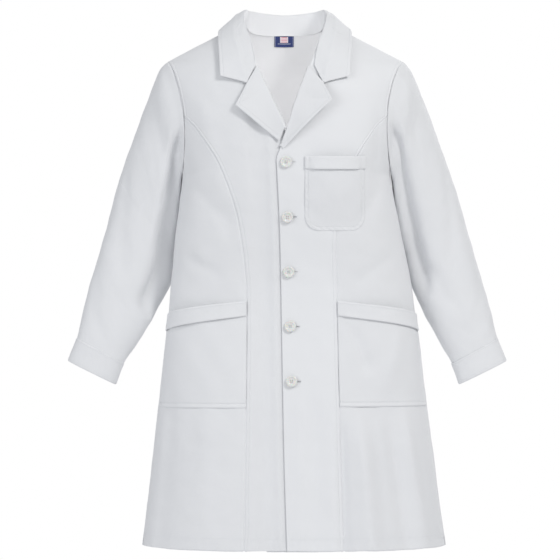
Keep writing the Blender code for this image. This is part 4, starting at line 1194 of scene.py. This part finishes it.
def make_sleeve(hand, name):
    """The upper sleeve, the lower one, which runs over the elbow, and a cuff."""
    spans = (("upper", 0.0, SLEEVE_SPLIT), ("lower", SLEEVE_SPLIT, CUFF_ROW), ("cuff", CUFF_ROW, len(SLEEVE)))
    for part, first, last in spans:
        rows = sleeve_rows(part, first, last)

        def place(u, row, rows=rows, part=part):
            at = rows[row]
            angle = 2 * math.pi * u * -hand
            rings = sleeve_rings(hand, angle)
            low = np.clip(np.floor(at - 1e-9).astype(int), 0, len(rings) - 2)
            index = np.indices(at.shape)

            def ring(k):
                return rings[np.clip(k, 0, len(rings) - 1), index[0], index[1]]

            start, end = ring(low), ring(low + 1)
            into = np.where((low == 0)[..., None], HEAD_ROUNDING * (end - start), (end - ring(low - 1)) / 2)
            out = np.where((low == len(rings) - 2)[..., None], end - start, (ring(low + 2) - start) / 2)
            point = hermite((at - low)[..., None], start, end, into, out)
            push = np.full(at.shape, CUFF_STEP) if part == "cuff" else sleeve_folds(angle, at, hand)
            return point + unit(point - sleeve_middle(hand, at)) * push[..., None]

        def detail(made, part=part):
            if part == "upper":
                total = plain_seam(made.along)
            elif part == "cuff":
                total = rounded(np.minimum(made.along, made.from_end), 0.0022, 0.0013)
                total = total - STITCH_DIP * bump(made.along - CUFF_STITCH, 0.001)
                total = total - STITCH_DIP * bump(made.from_end - CUFF_STITCH, 0.001)
            else:
                total = pucker(made.from_end, made.from_left, 3.0)
            return total + 0.0005 * ripple(made.from_left, made.along, 0.045, 81 + hand)

        inside = sleeve_middle(hand, np.array((first + last) / 2))
        kind, thickness = ("band", DOUBLE_CLOTH) if part == "cuff" else ("sleeve_tube", CLOTH)
        made = sheet(f"{part}_{kind}_{name}", place, len(rows), inside, step=0.0042, detail=detail, tube=True,
                     thickness=thickness)
        if part == "upper":
            finish_cloth(made, "coat", f"upper_sleeve_{name}", blend=SHOULDER_BLEND[hand])
        elif part == "lower":
            finish_cloth(made, "coat", f"lower_sleeve_{name}", blend=ELBOW_BLEND[hand])
        else:
            finish_cloth(made, f"forearm_{name}", f"cuff_{name}")
            stitched = [row_line(made, CUFF_STITCH), row_line(made, -CUFF_STITCH)]
            finish_stitches(f"topstitch_cuff_{name}", stitched, f"forearm_{name}")


# ---- buttons ---------------------------------------------------------
def button_place(k):
    """The point and the normal of the front under a button's middle."""
    x, z = BUTTON_TOP[0] + k * BUTTON_PITCH[0], BUTTON_TOP[1] + k * BUTTON_PITCH[1]
    return torso(np.array(x), np.array(z), -1), outward(np.array(x), np.array(z), -1)


def carve(piece, tools):
    """Cuts the tools out of a piece and removes them."""
    for tool in tools:
        cut = piece.modifiers.new("cut", "BOOLEAN")
        cut.operation, cut.object, cut.solver = "DIFFERENCE", tool, "EXACT"
    mesh = bpy.data.meshes.new_from_object(piece.evaluated_get(bpy.context.evaluated_depsgraph_get()))
    piece.modifiers.clear()
    old, piece.data = piece.data, mesh
    bpy.data.meshes.remove(old)
    for tool in tools:
        bpy.data.objects.remove(tool)


def cut_buttonholes(cloth):
    """Real slots through the sheet, from a little right of each button's middle."""
    for k in range(BUTTON_COUNT):
        centre = button_place(k)[0] + (BUTTONHOLE[0] / 2 - BUTTONHOLE_START, 0, 0)
        bpy.ops.mesh.primitive_cube_add(size=1.0, location=centre, rotation=(math.pi / 2, 0, 0))
        tool = bpy.context.active_object
        tool.scale = (*BUTTONHOLE, 0.012)
        carve(cloth, [tool])
    cloth.data.shade_smooth()
    cloth.data.set_sharp_from_angle(angle=SHARP_ANGLE)


def turned(rings, segments, closed):
    """A mesh turned about Z from (radius, height) rings. The first is a point, and the last too if closed."""
    body = rings[1:-1] if closed else rings[1:]
    verts = [(0.0, 0.0, rings[0][1])]
    for radius, height in body:
        for spoke in range(segments):
            angle = 2 * math.pi * spoke / segments
            verts.append((radius * math.cos(angle), radius * math.sin(angle), height))
    if closed:
        verts.append((0.0, 0.0, rings[-1][1]))
    faces = []
    for spoke in range(segments):
        follow = (spoke + 1) % segments
        faces.append((0, 1 + spoke, 1 + follow))
        for start in range(1, 1 + (len(body) - 1) * segments, segments):
            a, b = start + spoke, start + follow
            faces.append((a, a + segments, b + segments, b))
        if closed:
            last = 1 + (len(body) - 1) * segments
            faces.append((last + follow, last + spoke, len(verts) - 1))
    return verts, faces


def make_button(k):
    """A turned button with four holes, its crossed threads and its shank."""
    point, normal = button_place(k)
    turn = Vector(normal).to_track_quat("Z", "Y").to_matrix()
    corner = Vector(point) + Vector(normal) * BUTTON_LIFT
    body = f"button_body_{k + 1}"

    def seated(piece, rides_on, slot, *replaced):
        """Moves a piece from the origin to the button's place and ties it there."""
        for vertex in piece.data.vertices:
            vertex.co = turn @ vertex.co + corner
        finish_solid(piece, rides_on, slot, *replaced)

    rings = [(share * BUTTON_RADIUS, height * BUTTON_THICKNESS) for share, height in BUTTON_PROFILE]
    button = make_object(f"shirt_button_{k + 1}", *turned(rings, BUTTON_SEGMENTS, True), "button")
    tools = []
    for angle in (math.pi / 4 + i * math.pi / 2 for i in range(4)):
        place = (HOLE_OFFSET * math.cos(angle), HOLE_OFFSET * math.sin(angle), HOLE_Z)
        bpy.ops.mesh.primitive_cone_add(vertices=24, radius1=HOLE_RADII[0], radius2=HOLE_RADII[1],
                                        depth=HOLE_DEPTH, location=place)
        tools.append(bpy.context.active_object)
    carve(button, tools)
    while len(button.data.materials) > 1:
        button.data.materials.pop()
    button.data.shade_smooth()
    button.data.set_sharp_from_angle(angle=BUTTON_SHARP_ANGLE)
    seated(button, body, "button", f"button_{k + 1}")
    hold = HOLE_OFFSET / math.sqrt(2)
    share = np.linspace(0, 1, 14)
    height = BUTTON_PROFILE[0][1] * BUTTON_THICKNESS - THREAD_SAG
    height = height + THREAD_RISE * np.sin(math.pi * share) ** 0.6
    cross = [tube_mesh(stack(mix(-hold, hold, share), y, height), THREAD_RADIUS)
             for y in (hold, -hold, hold - 0.0003)]
    seated(joined(f"button_cross_{k + 1}", cross), body, "thread")
    low = -LAP_DEPTH + THREAD_GAP - BUTTON_LIFT
    share = np.linspace(0, 1, 60)
    shank = []
    for start in (0, math.pi):
        x, y = (SHANK_OFFSET * wave(share * SHANK_TURN + start) for wave in (np.cos, np.sin))
        shank.append(tube_mesh(stack(x, y, mix(low, -0.0002, share)), SHANK_RADIUS))
    seated(joined(f"button_shank_{k + 1}", shank), "coat", "thread", f"button_thread_{k + 1}")
    make_buttonhole(k, point)


def make_buttonhole(k, point):
    """Close satin stitches round the slot."""
    half_length, half_height = BUTTONHOLE[0] / 2, BUTTONHOLE[1] / 2
    centre_x, centre_z = float(point[0]) + half_length - BUTTONHOLE_START, float(point[2])
    outline, blocks = [], []
    reach = half_length - 0.0004
    for x in np.arange(-reach, reach, SATIN_PITCH):
        outline += [(x, half_height, 0.0, 1.0), (x, -half_height, 0.0, -1.0)]
    for angle in np.linspace(-math.pi / 2, math.pi / 2, 9):
        outline += [(side * reach, 0.0, side * math.cos(angle), math.sin(angle)) for side in (1, -1)]
    for x, z, dx, dz in outline:
        start = np.array((centre_x + x + dx * 0.0002, centre_z + z + dz * 0.0001))
        end = start + np.array((dx, dz)) * SATIN_LENGTH
        share = np.linspace(0, 1, 5)
        px, pz = mix(start[0], end[0], share), mix(start[1], end[1], share)
        lift = SATIN_HEIGHT * np.sin(math.pi * share) ** 0.5 - 0.0001
        blocks.append(tube_mesh(lifted(px, pz, -1, lift), SATIN_RADIUS, 5))
    finish_solid(joined(f"buttonhole_stitches_{k + 1}", blocks), "coat", "thread")


def tube_mesh(line, radius, sides=8):
    """A closed round tube along a line of points, as (verts, faces)."""
    ahead = unit(np.gradient(line, axis=0))
    guess = np.array((0.0, 0.0, 1.0)) if abs(ahead[0][2]) < 0.8 else np.array((1.0, 0.0, 0.0))
    side = unit(np.cross(ahead, guess))
    up = np.cross(side, ahead)
    angles = np.arange(sides) * 2 * math.pi / sides
    ring = np.cos(angles)[None, :, None] * side[:, None] + np.sin(angles)[None, :, None] * up[:, None]
    verts = (line[:, None] + radius * ring).reshape(-1, 3).tolist()
    count = len(line)
    faces = []
    for start in range(0, (count - 1) * sides, sides):
        for j, follow in zip(range(sides), [*range(1, sides), 0]):
            faces.append((start + j, start + follow, start + sides + follow, start + sides + j))
    faces.append(tuple(range(sides - 1, -1, -1)))
    faces.append(tuple((count - 1) * sides + j for j in range(sides)))
    return verts, faces


def joined(name, blocks):
    """One piece of thread from several meshes."""
    verts, faces = [], []
    for some_verts, some_faces in blocks:
        faces.extend(tuple(i + len(verts) for i in face) for face in some_faces)
        verts.extend(some_verts)
    return make_object(name, verts, faces, "thread")


def make_label():
    """The label inside the back of the neck, and the size tab on it."""
    rows = 26

    def detail(made):
        return rounded(np.minimum(np.minimum(made.from_left, made.from_right), made.from_end), 0.001, 0.0003)

    for name, (width, height), depth, drop, look, node in (
            ("woven_label", LABEL, CLOTH + 0.0012, LABEL_DROP, "label", "neck_label"),
            ("woven_size_tab", SIZE_TAB, CLOTH + 0.0026, LABEL_DROP + 0.0005, "tab", "size_tab")):
        def place(u, row, width=width, height=height, depth=depth, drop=drop):
            v = row / (rows - 1)
            x, z = (u - 0.5) * width - 0.0015, -drop - v * height
            curl = 0.0006 * np.sin(math.pi * u) * v
            return lifted(x, z, 1, -depth - curl)

        made = sheet(name, place, rows, (0.0, 0.2, -0.01), step=0.0008, detail=detail, thickness=0.0004,
                     look=look)
        finish_cloth(made, "coat", node, slot=look)


# ---- set -------------------------------------------------------------
def area_light(name, location, target, size, power, colour):
    """A round soft light, which the camera doesn't see."""
    light = bpy.data.lights.new(name, "AREA")
    light.shape, light.size, light.energy, light.color = "DISK", size, power, colour
    made = bpy.data.objects.new(name, light)
    made.location = location
    made.rotation_euler = (Vector(target) - Vector(location)).to_track_quat("-Z", "Y").to_euler()
    made.visible_camera = False
    bpy.context.scene.collection.objects.link(made)


def make_set():
    """A camera square to the front, white surroundings, four soft lights and a pale floor."""
    scene = bpy.context.scene
    scene.view_settings.view_transform = "Standard"
    world = bpy.data.worlds.new("studio")
    scene.world = world
    world.use_nodes = True
    nodes, links = world.node_tree.nodes, world.node_tree.links
    shine = nodes["Background"]
    shine.inputs["Color"].default_value = (0.96, 0.973, 1.0, 1)
    shine.inputs["Strength"].default_value = AMBIENT
    white = nodes.new("ShaderNodeBackground")
    rays, blend = nodes.new("ShaderNodeLightPath"), nodes.new("ShaderNodeMixShader")
    links.new(rays.outputs["Is Camera Ray"], blend.inputs[0])
    links.new(shine.outputs[0], blend.inputs[1])
    links.new(white.outputs[0], blend.inputs[2])
    white.inputs["Color"].default_value = (1, 1, 1, 1)
    links.new(blend.outputs[0], nodes["World Output"].inputs["Surface"])
    target = (CAMERA_AIM[0], MIDDLE_Y, CAMERA_AIM[1])
    area_light("key", (1.9, -2.6, 1.7), target, 0.9, KEY_POWER, (1.0, 0.99, 0.97))
    area_light("fill", (-2.6, -2.8, 0.2), target, 2.4, FILL_POWER, (0.96, 0.975, 1.0))
    area_light("rim", (1.6, 2.6, 1.2), target, 1.2, RIM_POWER, (1.0, 1.0, 1.0))
    area_light("neck", (0.012, -0.125, -0.15), (-0.015, 0.03, -0.05), 0.12, NECK_POWER, (1.0, 0.98, 0.97))
    lens = bpy.data.cameras.new("camera")
    lens.sensor_width, lens.clip_end = 36.0, 60.0
    lens.lens = lens.sensor_width / 2 / math.tan(math.atan(FRAME_WIDTH / 2 / CAMERA_DISTANCE))
    camera = bpy.data.objects.new("camera", lens)
    camera.location = (CAMERA_AIM[0], CAMERA_PLANE_Y - CAMERA_DISTANCE, CAMERA_AIM[1])
    camera.rotation_euler = (math.pi / 2, 0, 0)
    scene.collection.objects.link(camera)
    scene.camera = camera
    rings = [(FLOOR_RADIUS * ring / FLOOR_RINGS, FLOOR_Z) for ring in range(FLOOR_RINGS + 1)]
    make_object("floor", *turned(rings, FLOOR_SEGMENTS, False), "floor")


# ---- the coat --------------------------------------------------------
LOOKS = {
    "cloth": woven("coat_twill", (0.85, 0.858, 0.872), (0.806, 0.815, 0.832), 0.0006, 0.82, 0.12),
    "button": button_look(),
    "thread": thread_look(),
    "label": label_look(),
    "tab": tab_look(),
    "floor": floor_look(),
}
make_set()
make_torso()
make_facing("left")
make_facing("right")
make_chest_pocket()
make_collar()
for hand, name in SIDES:
    make_hip_pocket(hand, name)
    make_lapel(hand, name)
    make_sleeve(hand, name)
make_label()
for k in range(BUTTON_COUNT):
    make_button(k)
